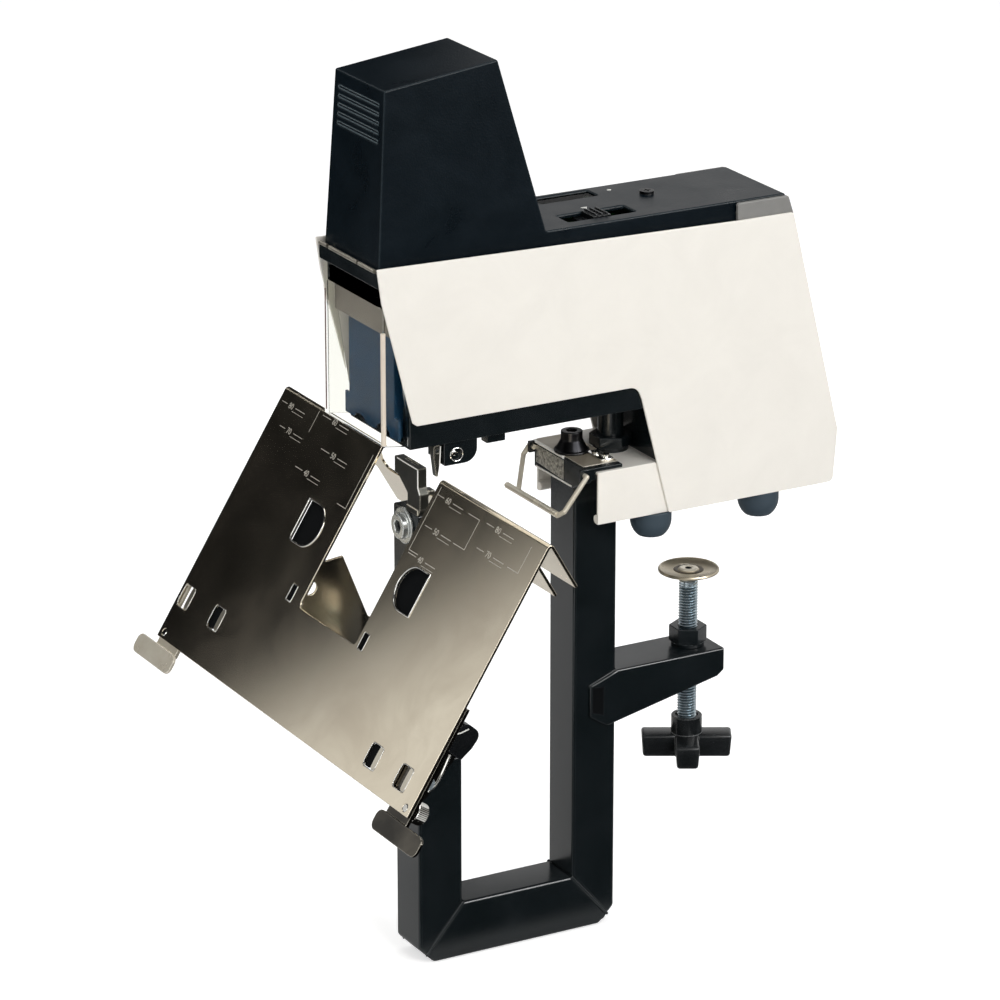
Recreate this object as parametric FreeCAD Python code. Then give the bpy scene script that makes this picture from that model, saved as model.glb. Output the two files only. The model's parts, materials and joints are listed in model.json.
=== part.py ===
# Electric saddle stapler on a table clamp, in millimetres.
# +X is the operator's right, +Y points to the rear, +Z up.
# The origin lies on the table top, in the mid plane, at the table's edge.
import FreeCAD, Part
import math
import os

from FreeCAD import Matrix, Placement, Vector

os.makedirs("parts", exist_ok=True)

# ---------------------------------------------------------------- driving dimensions
# U frame of square tube
tube = 25.0
tube_wall = 2.0
beam_height = 30.0
leg_gap = 64.0
frame_drop = 214.0
leg_top_z = -103.6
corner_cut = 8.8
post_depth = 11.0
post_top_z = 28.0
anvil_top_z = 52.4
anvil_width = 24.5
anvil_thick = 5.0

# table clamp
arm_reach = 63.5
arm_top_z = -74.0
arm_root_height = 29.0
arm_tip_height = 12.0
arm_sheet = 2.0
screw_inset = 13.5
screw_y = arm_reach - screw_inset
screw_radius = 5.0
pad_radius = 15.7
pad_top_z = -32.0
knob_radius = 23.5
knob_hub_radius = 8.25
knob_top_z = -113.0
lobe_width = 13.0
lobe_height = 12.5

# tray, feet and column cap
foot_height = 13.0
foot_radius = 10.5
foot_x = 22.0
foot_front_y = 13.8
foot_rear_y = 77.2
tray_front_y = -22.0
tray_height = 27.5
sheet = 1.5
cap_left = -24.5
cap_right = 29.0
cap_flange = 14.0
cap_plate = 2.0
wire_radius = 1.25
bail_half = 24.5
bail_reach = 14.5
bail_drop = 18.4
bail_lean = 14.0
tie_radius = 6.5
tie_y = 3.0

# body of the stapler
body_half = 32.5
rail_bottom_z = 70.0
rail_front_y = -127.5
rail_wall = 2.0
rail_height = 40.0
panel_front_y = -145.4
panel_top_z = 164.0
panel_low_z = 82.3
panel_foot_z = 13.2
hood_half = 28.2
hood_draft = 0.032
hood_wall = 2.2
hood_bottom_z = 158.0
deck_z = 168.5
tower_top_z = 248.8

# stapling head
staple_y = -110.0
stroke = 26.0
guide_half = 21.2
guide_depth = 16.0
guide_top_z = 150.0
blade_width = 12.7
blade_thick = 0.8
magazine_half = 8.0
magazine_height = 11.5
magazine_length = 96.0
magazine_sheet = 1.0
staple_crown = 12.7
staple_leg = 8.0
solenoid_size = 44.0
solenoid_height = 50.0
solenoid_plate = 3.0
plunger_radius = 8.0
guard_half = 30.7
guard_front_y = -142.0
guard_low_z = 74.0
guard_sheet = 1.7
pin_radius = 1.2

# saddle, folded from one sheet
ridge_y = -109.11
ridge_z = 53.64
saddle_half = 136.0
saddle_slope = 58.0
saddle_length = 146.5
flap_slope = 59.7
flap_length = 29.0
band_length = 51.5
band_x = (-97.0, 64.0)
notch_half = 30.0
notch_length = 93.0
saddle_sheet = 1.5
seat_pin_z = -60.0
seat_pin_radius = 4.0
turn_y = -76.4
turn_z = -10.5
turn_angle = 58.0

# clearances
fit = 0.05
gap = 0.3

# ---------------------------------------------------------------- derived places
half_tube = tube / 2
column_front_y = -tube
leg_rear_y = column_front_y - leg_gap
leg_front_y = leg_rear_y - tube
beam_bottom_z = -frame_drop
beam_top_z = beam_bottom_z + beam_height
post_front_y = leg_front_y
post_rear_y = post_front_y + post_depth
post_y = (post_front_y + post_rear_y) / 2

panel_inner = body_half - sheet
tray_half = panel_inner - 0.2
base_z = foot_height + sheet
tray_top_z = base_z + tray_height - sheet
rail_half = panel_inner - gap
rail_floor_z = rail_bottom_z + rail_wall
magazine_top_z = rail_floor_z + magazine_height
bulkhead_y = 13.0


# ---------------------------------------------------------------- building blocks
def block(x, y, z):
    """A box between the (low, high) pairs x, y and z."""
    return Part.makeBox(x[1] - x[0], y[1] - y[0], z[1] - z[0], Vector(x[0], y[0], z[0]))


def rod(start, end, radius):
    """A cylinder from start to end."""
    start = Vector(*start)
    along = Vector(*end) - start
    return Part.makeCylinder(radius, along.Length, start, along)


def outline(points, radii):
    """A closed wire through the points, with each corner rounded by its radius."""
    count = len(points)
    corners = []
    for i in range(count):
        back = (points[i - 1] - points[i]).normalize()
        ahead = (points[(i + 1) % count] - points[i]).normalize()
        half = back.getAngle(ahead) / 2
        reach = radii[i] / math.tan(half)
        inward = (back + ahead).normalize()
        middle = points[i] + inward * (radii[i] / math.sin(half) - radii[i])
        corners.append((points[i] + back * reach, middle, points[i] + ahead * reach))
    edges = []
    for i in range(count):
        if radii[i] > 0:
            edges.append(Part.Arc(*corners[i]).toShape())
        start = corners[i][2]
        end = corners[(i + 1) % count][0]
        if (end - start).Length > 1e-6:
            edges.append(Part.LineSegment(start, end).toShape())
    return Part.Wire(edges)


def profile(points, x, radii=None):
    """A prism along X of a YZ outline."""
    corners = [Vector(x[0], y, z) for y, z in points]
    wire = outline(corners, radii or [0] * len(corners))
    return Part.Face(wire).extrude(Vector(x[1] - x[0], 0, 0))


def plan(points, z, radii=None):
    """A prism along Z of an XY outline."""
    corners = [Vector(x, y, z[0]) for x, y in points]
    wire = outline(corners, radii or [0] * len(corners))
    return Part.Face(wire).extrude(Vector(0, 0, z[1] - z[0]))


def rectangle(x, y):
    """The corners of a rectangle between two (low, high) pairs."""
    return [(x[0], y[0]), (x[1], y[0]), (x[1], y[1]), (x[0], y[1])]


def hexagon(centre, flats, z):
    """A hexagonal prism standing on Z, with the given distance across its flats."""
    reach = flats / 2 / math.cos(math.radians(30))
    points = []
    for i in range(6):
        turn = math.radians(60 * i)
        points.append((centre[0] + reach * math.cos(turn), centre[1] + reach * math.sin(turn)))
    return plan(points, z)


def wire_form(points, radius):
    """A bent round wire through the points."""
    solid = rod(points[0], points[1], radius)
    for i in range(1, len(points) - 1):
        joint = Part.makeSphere(radius, Vector(*points[i]))
        solid = solid.fuse([joint, rod(points[i], points[i + 1], radius)])
    return solid.removeSplitter()


def join(shapes):
    """One solid from touching or overlapping shapes."""
    return shapes[0].fuse(shapes[1:]).removeSplitter()


def group(shapes):
    """Separate solids that share one node."""
    return Part.makeCompound(shapes)


def both_sides(make):
    """The shapes that make(side) returns for the left and the right."""
    return [make(-1), make(1)]


def span(side, near, far):
    """The X pair between two distances from the mid plane, on one side."""
    return (near, far) if side > 0 else (-far, -near)


def save(name, shape):
    shape.exportStep("parts/" + name + ".step")


# ---------------------------------------------------------------- U frame
def column_tube():
    outer = profile([(0, tray_top_z - sheet), (0, beam_bottom_z + corner_cut), (-corner_cut, beam_bottom_z),
                     (column_front_y, beam_top_z), (column_front_y, tray_top_z - sheet)],
                    (-half_tube, half_tube))
    bore_low = beam_bottom_z + tube_wall
    bore = profile([(-tube_wall, tray_top_z), (-tube_wall, bore_low + corner_cut),
                    (-corner_cut, bore_low), (column_front_y + tube_wall, beam_top_z - tube_wall),
                    (column_front_y + tube_wall, tray_top_z)],
                   (-half_tube + tube_wall, half_tube - tube_wall))
    return outer.common(behind_mitre(True)).cut(bore)


def behind_mitre(rear):
    """The space of the column, or of the leg, beyond the mitre cuts of the lower corners."""
    if rear:
        corners = [(0, beam_bottom_z), (column_front_y, beam_top_z), (column_front_y, tray_top_z), (0, tray_top_z)]
    else:
        corners = [(leg_front_y, beam_bottom_z), (leg_rear_y, beam_top_z), (leg_rear_y, leg_top_z),
                   (leg_front_y, leg_top_z)]
    return profile(corners, (-half_tube, half_tube))


def front_leg():
    outer = profile([(leg_rear_y, leg_top_z), (leg_front_y, leg_top_z), (leg_front_y, beam_bottom_z + corner_cut),
                     (leg_front_y + corner_cut, beam_bottom_z), (leg_rear_y, beam_top_z)],
                    (-half_tube, half_tube))
    inner_x = (-half_tube + tube_wall, half_tube - tube_wall)
    bore = profile([(leg_rear_y - tube_wall, leg_top_z + 1), (leg_front_y + tube_wall, leg_top_z + 1),
                    (leg_front_y + tube_wall, beam_bottom_z + tube_wall + corner_cut),
                    (leg_front_y + corner_cut, beam_bottom_z + tube_wall),
                    (leg_rear_y - tube_wall, beam_top_z - tube_wall)], inner_x)
    return outer.common(behind_mitre(False)).cut(bore)


def lower_beam():
    whole = profile([(0, beam_bottom_z + corner_cut), (-corner_cut, beam_bottom_z),
                     (leg_front_y + corner_cut, beam_bottom_z), (leg_front_y, beam_bottom_z + corner_cut),
                     (leg_front_y, beam_top_z), (0, beam_top_z)], (-half_tube, half_tube))
    bore = block((-half_tube + tube_wall, half_tube - tube_wall), (leg_front_y, 0),
                 (beam_bottom_z + tube_wall, beam_top_z - tube_wall))
    return whole.cut([behind_mitre(True), behind_mitre(False), bore])


def anvil_post():
    flange = block((-half_tube, half_tube), (leg_front_y, leg_rear_y), (leg_top_z, leg_top_z + tube_wall))
    post = block((-half_tube, half_tube), (post_front_y, post_rear_y), (leg_top_z + tube_wall, post_top_z))
    hole = rod((-tube, post_y, seat_pin_z), (tube, post_y, seat_pin_z), seat_pin_radius + 0.02)
    tapped = rod((0, post_front_y - 1, bolt_z), (0, post_rear_y + 1, bolt_z), bolt_radius)
    return join([flange, post]).cut([hole, tapped])


def seat_pin():
    reach = notch_half + saddle_sheet + 2.5
    return rod((-reach, post_y, seat_pin_z), (reach, post_y, seat_pin_z), seat_pin_radius)


bolt_z = 19.8
bolt_radius = 4.0


def anvil():
    """A plate that stands on the right of the post and reaches over it, with two grooves that fold a staple."""
    half = anvil_width / 2
    rear_y = staple_y + anvil_thick / 3
    foot_x = half_tube - 0.1
    outline = [(-half, anvil_top_z), (half, anvil_top_z), (half, anvil_top_z - 10), (half + 2, anvil_top_z - 13),
               (half + 2, post_top_z + 4), (foot_x, post_top_z), (1, post_top_z), (1, post_top_z + 9),
               (-half + 4, anvil_top_z - 9), (-half, anvil_top_z - 8.5)]
    wall = Part.Face(Part.makePolygon([Vector(x, rear_y - anvil_thick, z) for x, z in outline + outline[:1]]))
    plate = wall.extrude(Vector(0, anvil_thick, 0))
    tab = block((half - 4, half + 2), (rear_y, rear_y + 3.6), (anvil_top_z - 14, anvil_top_z - 11.5))
    foot = block((1, foot_x), (post_front_y, post_rear_y), (post_top_z, post_top_z + 3))
    clinch = staple_crown / 4
    grooves = [block((side * clinch - 2.6, side * clinch + 2.6), (staple_y - 0.8, staple_y + 0.8),
                     (anvil_top_z - 0.6, anvil_top_z + 1)) for side in (-1, 1)]
    return join([plate, tab, foot]).cut(grooves)


def anvil_screw():
    flange = rod((0, post_front_y - 1.6, bolt_z), (0, post_front_y, bolt_z), 9.3)
    head = rod((0, post_front_y - 4.6, bolt_z), (0, post_front_y - 1.6, bolt_z), 6.5)
    shank = rod((0, post_front_y, bolt_z), (0, post_rear_y - 0.5, bolt_z), bolt_radius - 0.02)
    socket = hexagon((0, 0), 6, (0, 5))
    socket.Placement = Placement(Matrix(1, 0, 0, 0, 0, 0, -1, post_front_y - 1.8, 0, 1, 0, bolt_z, 0, 0, 0, 1))
    return join([flange, head, shank]).cut(socket)


# ---------------------------------------------------------------- table clamp
arm_half = half_tube + 0.1 + arm_sheet


def arm_low_z(y):
    """Height of the arm's slanted lower edge at a distance from the table's edge."""
    run = arm_reach - 4.0
    return arm_top_z - arm_root_height + (arm_root_height - arm_tip_height - 3) * y / run


def clamp_arm():
    web = block((-arm_half, arm_half), (0, arm_reach), (arm_top_z - arm_sheet, arm_top_z))
    flange_points = [(arm_reach, arm_top_z), (arm_reach, arm_top_z - arm_tip_height),
                     (arm_reach - 4, arm_low_z(arm_reach - 4)), (-6, arm_low_z(0) - 0.6),
                     (-16, arm_top_z - 23), (-16, arm_top_z - 6), (-6, arm_top_z - 2.5), (0, arm_top_z)]
    flanges = both_sides(lambda side: profile(flange_points, span(side, arm_half - arm_sheet, arm_half)))
    tip = block((-arm_half, arm_half), (arm_reach - arm_sheet, arm_reach),
                (arm_top_z - arm_tip_height + 3, arm_top_z))
    hole = rod((0, screw_y, arm_top_z - 5), (0, screw_y, arm_top_z + 1), screw_radius + gap)
    return join([web] + flanges + [tip]).cut(hole)


def clamp_nut():
    body = rod((0, screw_y, arm_top_z), (0, screw_y, arm_top_z + 8), 8.5)
    collar = hexagon((0, screw_y), 17, (arm_top_z + 2, arm_top_z + 10.5))
    bore = rod((0, screw_y, arm_top_z - 1), (0, screw_y, arm_top_z + 12), screw_radius + fit)
    return join([body, collar]).cut(bore)


pad_thick = 2.0
pad_socket = 3.2
pad_roof = 1.2
pad_rim = 1.8
neck_radius = 4.2
neck_top_z = pad_top_z - pad_roof - gap


def clamp_pad():
    socket_low = pad_top_z - pad_thick - pad_socket
    disc = rod((0, screw_y, pad_top_z - pad_thick), (0, screw_y, pad_top_z), pad_radius)
    boss = rod((0, screw_y, socket_low), (0, screw_y, pad_top_z - pad_thick), neck_radius + 3)
    dish = rod((0, screw_y, pad_top_z - 0.5), (0, screw_y, pad_top_z + 1), pad_radius - pad_rim)
    bore = rod((0, screw_y, socket_low - 1), (0, screw_y, pad_top_z - pad_roof), neck_radius + fit)
    return join([disc, boss]).cut([dish, bore])


def clamp_spindle():
    shoulder_z = pad_top_z - pad_thick - pad_socket - gap
    thread = rod((0, screw_y, knob_top_z - 12), (0, screw_y, shoulder_z), screw_radius)
    neck = rod((0, screw_y, shoulder_z), (0, screw_y, neck_top_z), neck_radius)
    return join([thread, neck])


def clamp_knob():
    lobe_top_z = knob_top_z - 9.5
    hub = rod((0, screw_y, lobe_top_z - lobe_height), (0, screw_y, knob_top_z), knob_hub_radius)
    arms = []
    for i in range(4):
        arm = plan(rectangle((0, knob_radius), (-lobe_width / 2, lobe_width / 2)),
                   (lobe_top_z - lobe_height, lobe_top_z), [0, 2.5, 2.5, 0])
        arm.rotate(Vector(0, 0, 0), Vector(0, 0, 1), 60.8 + 90 * i)
        arm.translate(Vector(0, screw_y, 0))
        arms.append(arm)
    bore = rod((0, screw_y, knob_top_z - 12), (0, screw_y, knob_top_z + 1), screw_radius + 0.02)
    return join([hub] + arms).cut(bore)


# ---------------------------------------------------------------- tray, feet and column cap
tray_rear_y = 100.0
hem_radius = 2.3
hem_low_z = base_z - 1.4


def base_tray():
    top = block((-tray_half, tray_half), (tray_front_y, tray_rear_y), (tray_top_z - sheet, tray_top_z))

    def wall(side):
        return block(span(side, tray_half - sheet, tray_half), (tray_front_y, tray_rear_y), (hem_low_z, tray_top_z))

    def hem(side):
        x = side * (tray_half - hem_radius)
        z = hem_low_z + hem_radius
        return rod((x, tray_front_y, z), (x, tray_rear_y, z), hem_radius)

    screw_hole = rod((0, cap_screw_y, tray_top_z - 5), (0, cap_screw_y, tray_top_z + 1), cap_thread + 0.1)
    return join([top] + both_sides(wall) + both_sides(hem)).cut(screw_hole)


def base_plate():
    plate_half = tray_half - 2 * hem_radius
    plate = block((-plate_half, plate_half), (2, rear_low_y - 1.9), (foot_height, base_z))
    holes = [rod((side * foot_x, y, foot_height - 1), (side * foot_x, y, base_z + 1), foot_stem + fit)
             for side in (-1, 1) for y in (foot_front_y, foot_rear_y)]
    return plate.cut(holes)


foot_stem = 3.0


def rubber_feet():
    feet = []
    for side in (-1, 1):
        for y in (foot_front_y, foot_rear_y):
            shoulder = foot_height * 0.6
            sole = foot_radius - 3.5
            points = [Vector(0, 0, 0), Vector(sole, 0, 0), Vector(foot_radius, 0, shoulder)]
            bulge = Vector(foot_radius - 1.1, 0, shoulder * 0.42)
            edges = [Part.LineSegment(points[0], points[1]).toShape(),
                     Part.Arc(points[1], bulge, points[2]).toShape(),
                     Part.makePolygon([points[2], Vector(foot_radius, 0, foot_height),
                                       Vector(0, 0, foot_height), points[0]])]
            dome = Part.Face(Part.Wire(edges)).revolve(Vector(0, 0, 0), Vector(0, 0, 1), 360)
            dome.translate(Vector(side * foot_x, y, 0))
            stem = rod((side * foot_x, y, foot_height), (side * foot_x, y, base_z + 2), foot_stem)
            feet.append(join([dome, stem]))
    return group(feet)


cap_screw_y = -19.5
cap_thread = 3.0
cap_front_y = column_front_y - cap_plate
bail_y = cap_front_y - 1.6
bail_z = tray_top_z - 1.0


def column_cap():
    top_z = tray_top_z + cap_plate
    low_z = top_z - cap_flange
    top = block((cap_left, cap_right), (cap_front_y, -7), (tray_top_z, top_z))
    outline = [Vector(cap_left, cap_front_y, top_z), Vector(cap_right, cap_front_y, top_z),
               Vector(cap_right, cap_front_y, bail_z - 4), Vector(cap_right / 2, cap_front_y, low_z),
               Vector(cap_left, cap_front_y, low_z)]
    flange = Part.Face(Part.makePolygon(outline + outline[:1])).extrude(Vector(0, cap_plate, 0))

    def ear(x):
        cheek = block(x, (bail_y - 2.4, tray_front_y - gap), (bail_z - 3, top_z))
        return cheek.cut(rod((x[0] - 1, bail_y, bail_z), (x[1] + 1, bail_y, bail_z), wire_radius + fit))

    ears = [ear((cap_left, cap_left + cap_plate)), ear((cap_right - cap_plate, cap_right))]
    hole = rod((0, cap_screw_y, tray_top_z - 1), (0, cap_screw_y, top_z + 1), cap_thread + 0.1)
    slot = block((11, 22), (-12.5, -10), (tray_top_z - 1, top_z + 1))
    return join([top, flange] + ears).cut([hole, slot])


cap_washer = 9.0
cap_head_radius = 5.5
cap_head_height = 11.0


def cap_screw():
    seat_z = tray_top_z + cap_plate
    top_z = seat_z + cap_head_height
    washer = rod((0, cap_screw_y, seat_z), (0, cap_screw_y, seat_z + 1.5), cap_washer)
    skirt = Part.makeCone(cap_washer - 0.8, cap_head_radius, 5, Vector(0, cap_screw_y, seat_z + 1.5))
    head = rod((0, cap_screw_y, seat_z + 1.5), (0, cap_screw_y, top_z), cap_head_radius)
    shank = rod((0, cap_screw_y, tray_top_z - 12), (0, cap_screw_y, seat_z), cap_thread)
    socket = hexagon((0, cap_screw_y), 5, (top_z - 4, top_z + 1))
    return join([washer, skirt, head, shank]).cut(socket)


def latch_bail():
    bar_y = bail_y - bail_reach
    bar_z = bail_z - bail_drop
    corner = 3.0
    left_x = cap_left - wire_radius - gap * 2
    right_x = cap_right + wire_radius + gap * 2
    arm_right = [(cap_right - cap_plate - 0.8, bail_y, bail_z), (right_x, bail_y, bail_z),
                 (right_x, bar_y + corner * 0.6, bar_z + corner * 0.8), (right_x - corner, bar_y, bar_z),
                 (-bail_half, bar_y, bar_z)]
    arm_left = [(cap_left + cap_plate + 0.8, bail_y, bail_z), (left_x, bail_y, bail_z),
                (left_x, bail_y - bail_reach / 4, bail_z - bail_drop / 4), (left_x + bail_lean, bar_y, bar_z)]
    return join([wire_form(arm_right, wire_radius), wire_form(arm_left, wire_radius)])


def tie_post():
    foot = rod((0, tie_y, tray_top_z), (0, tie_y, tray_top_z + 2), tie_radius + 2.5)
    shaft = rod((0, tie_y, tray_top_z + 2), (0, tie_y, rail_bottom_z), tie_radius)
    return join([foot, shaft])


def tie_nut():
    nut = hexagon((0, tie_y), 19, (tray_top_z + 2, tray_top_z + 8))
    return nut.cut(rod((0, tie_y, tray_top_z), (0, tie_y, tray_top_z + 9), tie_radius + 0.02))


# ---------------------------------------------------------------- body
panel_points = [(panel_front_y, panel_top_z), (panel_front_y + 2.4, 147.0), (-126.6, panel_low_z + 1.7),
                (-124.2, panel_low_z), (-1.0, panel_low_z), (1.8, 75.7), (18.4, panel_foot_z),
                (115.4, panel_foot_z), (117.6, 41.2), (88.6, 159.4), (56.7, 159.5)]
panel_radii = [0.5, 2, 1.5, 1.5, 6, 6, 1, 3, 3, 2, 0]
rear_top = Vector(0, 88.6, 157.5)
rear_knee = Vector(0, 117.6, 41.2)
rear_low_y = 115.4


def side_panel(side):
    return profile(panel_points, span(side, panel_inner, body_half), panel_radii)


def rear_cover():
    rise = (rear_top - rear_knee).normalize()
    inward = Vector(0, -rise.z, rise.y)
    start = rear_top - rise * 1.0 + inward * 0.6
    knee = rear_knee + inward * 0.6
    foot = Vector(0, rear_low_y - 0.6, base_z)
    deeper = Vector(0, -sheet, 0)
    plate = profile([(p.y, p.z) for p in (start, knee, foot, foot + deeper, knee + deeper,
                                         start + deeper)], (-tray_half, tray_half))
    cuts = [on_rear(plan(rectangle((-inlet_width / 2, inlet_width / 2), (-inlet_height / 2, inlet_height / 2)),
                         (-8, 3)), inlet_drop),
            on_rear(plan(rectangle((-rocker_width / 2 - gap, rocker_width / 2 + gap),
                                   (-rocker_height / 2 - 2 * gap, rocker_height / 2 + 2 * gap)), (-8, 3)), rocker_drop),
            on_rear(rod((jack_x, 0, -8), (jack_x, 0, 3), jack_radius + 0.02), jack_drop)]
    return plate.cut(cuts)


def on_rear(shape, drop):
    """Moves a shape from the XY plane to the slanted rear face, a distance below its top."""
    rise = (rear_top - rear_knee).normalize()
    out = Vector(0, rise.z, -rise.y)
    place = rear_top - rise * drop
    shape.Placement = Placement(Matrix(-1, 0, 0, 0, 0, rise.y, out.y, place.y,
                                       0, rise.z, out.z, place.z, 0, 0, 0, 1)).multiply(shape.Placement)
    return shape


inlet_width = 27.6
inlet_height = 20.0
inlet_drop = 92.0
rocker_width = 17.0
rocker_height = 22.0
rocker_drop = 62.0
rocker_pivot_z = -1.0
jack_radius = 5.5
jack_bore = 3.25
jack_x = 19.0
jack_drop = 66.0
jack_depth = 12.0


def power_inlet():
    bezel = plan(rectangle((-16, 16), (-12.5, 12.5)), (0.1, 2.4), [2, 2, 2, 2])
    box = plan(rectangle((-inlet_width / 2 + 0.2, inlet_width / 2 - 0.2),
                         (-inlet_height / 2 + 0.2, inlet_height / 2 - 0.2)), (-16, 0.1))
    cavity = plan(rectangle((-12.2, 12.2), (-8.2, 8.2)), (-13, 3), [1, 1, 4, 4])
    pins = [plan(rectangle((x - 1, x + 1), (y - 2, y + 2)), (-13.5, -7.5)) for x, y in ((-7, 2), (0, -2.5), (7, 2))]
    return on_rear(join([join([bezel, box]).cut(cavity)] + pins), inlet_drop)


def foot_switch_socket():
    collar = rod((jack_x, 0, 0.1), (jack_x, 0, 2.6), jack_radius + 2)
    barrel = rod((jack_x, 0, -jack_depth), (jack_x, 0, 0.1), jack_radius)
    bore = rod((jack_x, 0, -jack_depth + 2), (jack_x, 0, 4), jack_bore)
    return on_rear(join([collar, barrel]).cut(bore), jack_drop)


def power_switch():
    half = rocker_height / 2
    points = [(-half, 1.2), (0, 2.4), (half, 4.8), (half, -2), (0, -6), (-half, -2)]
    body = profile(points, (-rocker_width / 2, rocker_width / 2))
    reach = rocker_width / 2 + gap - 0.1
    pivot = rod((-reach, 0, rocker_pivot_z), (reach, 0, rocker_pivot_z), 0.8)
    return on_rear(join([body, pivot]), rocker_drop)


def chassis_rail():
    rear_y = bulkhead_y
    floor = block((-rail_half, rail_half), (rail_front_y, rear_y), (rail_bottom_z, rail_floor_z))

    def wall(side):
        return block(span(side, rail_half - rail_wall, rail_half), (rail_front_y, rear_y),
                     (rail_floor_z, rail_bottom_z + rail_height))

    front = block((guide_half + 2, rail_half), (rail_front_y, rail_front_y + rail_wall), (rail_floor_z, 90))
    block_under = block((21, 27), (-83, -72.5), (rail_bottom_z - 5, rail_bottom_z))
    mouth = block((-blade_width / 2 - 0.6, blade_width / 2 + 0.6), (staple_y - 2, staple_y + 2.5),
                  (rail_bottom_z - 1, rail_floor_z + 1))
    return join([floor] + both_sides(wall) + [front, front.mirror(Vector(), Vector(1, 0, 0)), block_under]).cut(mouth)


def notch_bulkhead():
    return block((-rail_half, rail_half), (bulkhead_y, bulkhead_y + 2), (tray_top_z, rail_bottom_z + rail_height))


bracket_x = (24.0, 28.6)
bracket_y = (-107.6, -89.1)
bracket_low_z = 57.8
bracket_eye = (-100.7, 62.9)
feeler_hinge_y = -111.0
feeler_hinge_z = 66.0


def trigger_bracket():
    front_y = bracket_y[0]
    plate = profile([(front_y, rail_bottom_z), (front_y, bracket_low_z), (bracket_y[1], bracket_low_z),
                     (bracket_y[1], rail_bottom_z)], bracket_x, [0, 1, 7, 0])
    eye = rod((bracket_x[1] - 1.5, *bracket_eye), (bracket_x[1] + 1, *bracket_eye), 3.3)
    lug_z = (feeler_hinge_z - 2.6, rail_bottom_z)
    lug = block((bracket_x[0] - 1.6, bracket_x[0]), (feeler_hinge_y - 2.2, front_y), lug_z)
    rib = block((bracket_x[0] - 1.6, bracket_x[0]), (front_y, front_y + 6.5), lug_z)
    hinge = (feeler_hinge_y, feeler_hinge_z)
    pivot = rod((bracket_x[0], *hinge), (bracket_x[1] - 0.2, *hinge), 1.0)
    return join([plate.cut(eye), lug, rib, pivot])


def trigger_feeler():
    x = (bracket_x[0] + gap, bracket_x[1] - 0.6)
    finger = profile([(-113, 69.0), (-113, 63), (-111.7, 53), (-110.7, 53), (-108.9, 63), (-108.9, 69.0)],
                     x, [1.5, 0, 0.4, 0.4, 0, 1.5])
    hinge = (feeler_hinge_y, feeler_hinge_z)
    return finger.cut(rod((20, *hinge), (30, *hinge), 1.0 + fit))


# ---------------------------------------------------------------- hood and deck
hood_front_z = 161.5
hood_points = [(-142.3, hood_front_z), (-137.0, tower_top_z), (-75.6, 256.4), (-50.3, deck_z),
               (86.0, deck_z), (91.4, hood_bottom_z)]
slot_x = (7.0, 19.5)
slot_y = (-33.0, 5.0)
window_x = (-25.0, -14.2)
window_y = (-30.0, 3.0)
deck_screw_x = -5.5
deck_screw_y = 26.0
board_top_z = 158.0
board_thick = 1.6


def drafted(half, low, high, y):
    """A prism along Y whose sides lean in by the hood's draft."""
    top = half - hood_draft * (high - hood_bottom_z)
    bottom = half - hood_draft * (low - hood_bottom_z)
    corners = [Vector(-bottom, y[0], low), Vector(bottom, y[0], low), Vector(top, y[0], high),
               Vector(-top, y[0], high)]
    return Part.Face(Part.makePolygon(corners + corners[:1])).extrude(Vector(0, y[1] - y[0], 0))


def top_hood():
    across = (-50, 50)
    outer = profile(hood_points, across).common(drafted(hood_half, hood_bottom_z, 260, (-150, 100)))
    front, top, rear, heel, deck_end, tail = [Vector(0, y, z) for y, z in hood_points]
    w = hood_wall
    inner_points = [(front.y + w, front.z - 1), (top.y + w, top.z - w), (rear.y - w, rear.z - w * 1.1),
                    (heel.y - w, heel.z - w), (deck_end.y - w, deck_end.z - w), (tail.y - w * 1.2, tail.z - 1)]
    inner = profile(inner_points, across)
    inner = inner.common(drafted(hood_half - w, hood_bottom_z - 2, 262, (-150, 100)))
    shell = outer.cut(inner)
    cuts = [block(slot_x, slot_y, (deck_z - 5, deck_z + 1)), block(window_x, window_y, (deck_z - 5, deck_z + 1)),
            rod((deck_screw_x, deck_screw_y, deck_z - 5), (deck_screw_x, deck_screw_y, deck_z + 1), 2.1)]
    for i in range(5):
        z = tower_top_z - 8 - 4.4 * i
        y = top.y - (tower_top_z - z) * (top.y - front.y) / (top.z - front.z)
        cuts.append(block((-21, 21), (y - 1, y + 0.9), (z - 0.8, z + 0.8)))
    shell = shell.cut(cuts)
    boss_radius = 3.0
    bosses = []
    for x in (-20, 20):
        for y in (slot_y[1] + 7, board_y[1] - 8):
            bosses.append(rod((x, y, board_top_z), (x, y, deck_z - w + 0.1), boss_radius))
    seat = rod((deck_screw_x, deck_screw_y, board_top_z), (deck_screw_x, deck_screw_y, deck_z - w + 0.1), 4.5)
    seat = seat.cut(rod((deck_screw_x, deck_screw_y, board_top_z - 1), (deck_screw_x, deck_screw_y, deck_z), 2.1))
    return join([shell, seat] + bosses)


board_y = (-34.0, 78.0)


def circuit_board():
    board = block((-23.5, 23.5), board_y, (board_top_z - board_thick, board_top_z))
    relay = block((-8, 8), (-30, -8), (board_top_z - board_thick - 12, board_top_z - board_thick))
    can = rod((-14, 50, board_top_z - board_thick - 24), (-14, 50, board_top_z - board_thick), 8)
    can_two = rod((8, 50, board_top_z - board_thick - 24), (8, 50, board_top_z - board_thick), 8)
    return join([board, relay, can, can_two])


def board_window():
    return block((window_x[0] + 0.1, window_x[1] - 0.1), (window_y[0] + 0.1, window_y[1] - 0.1),
                 (deck_z - hood_wall, deck_z - 1.0))


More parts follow.
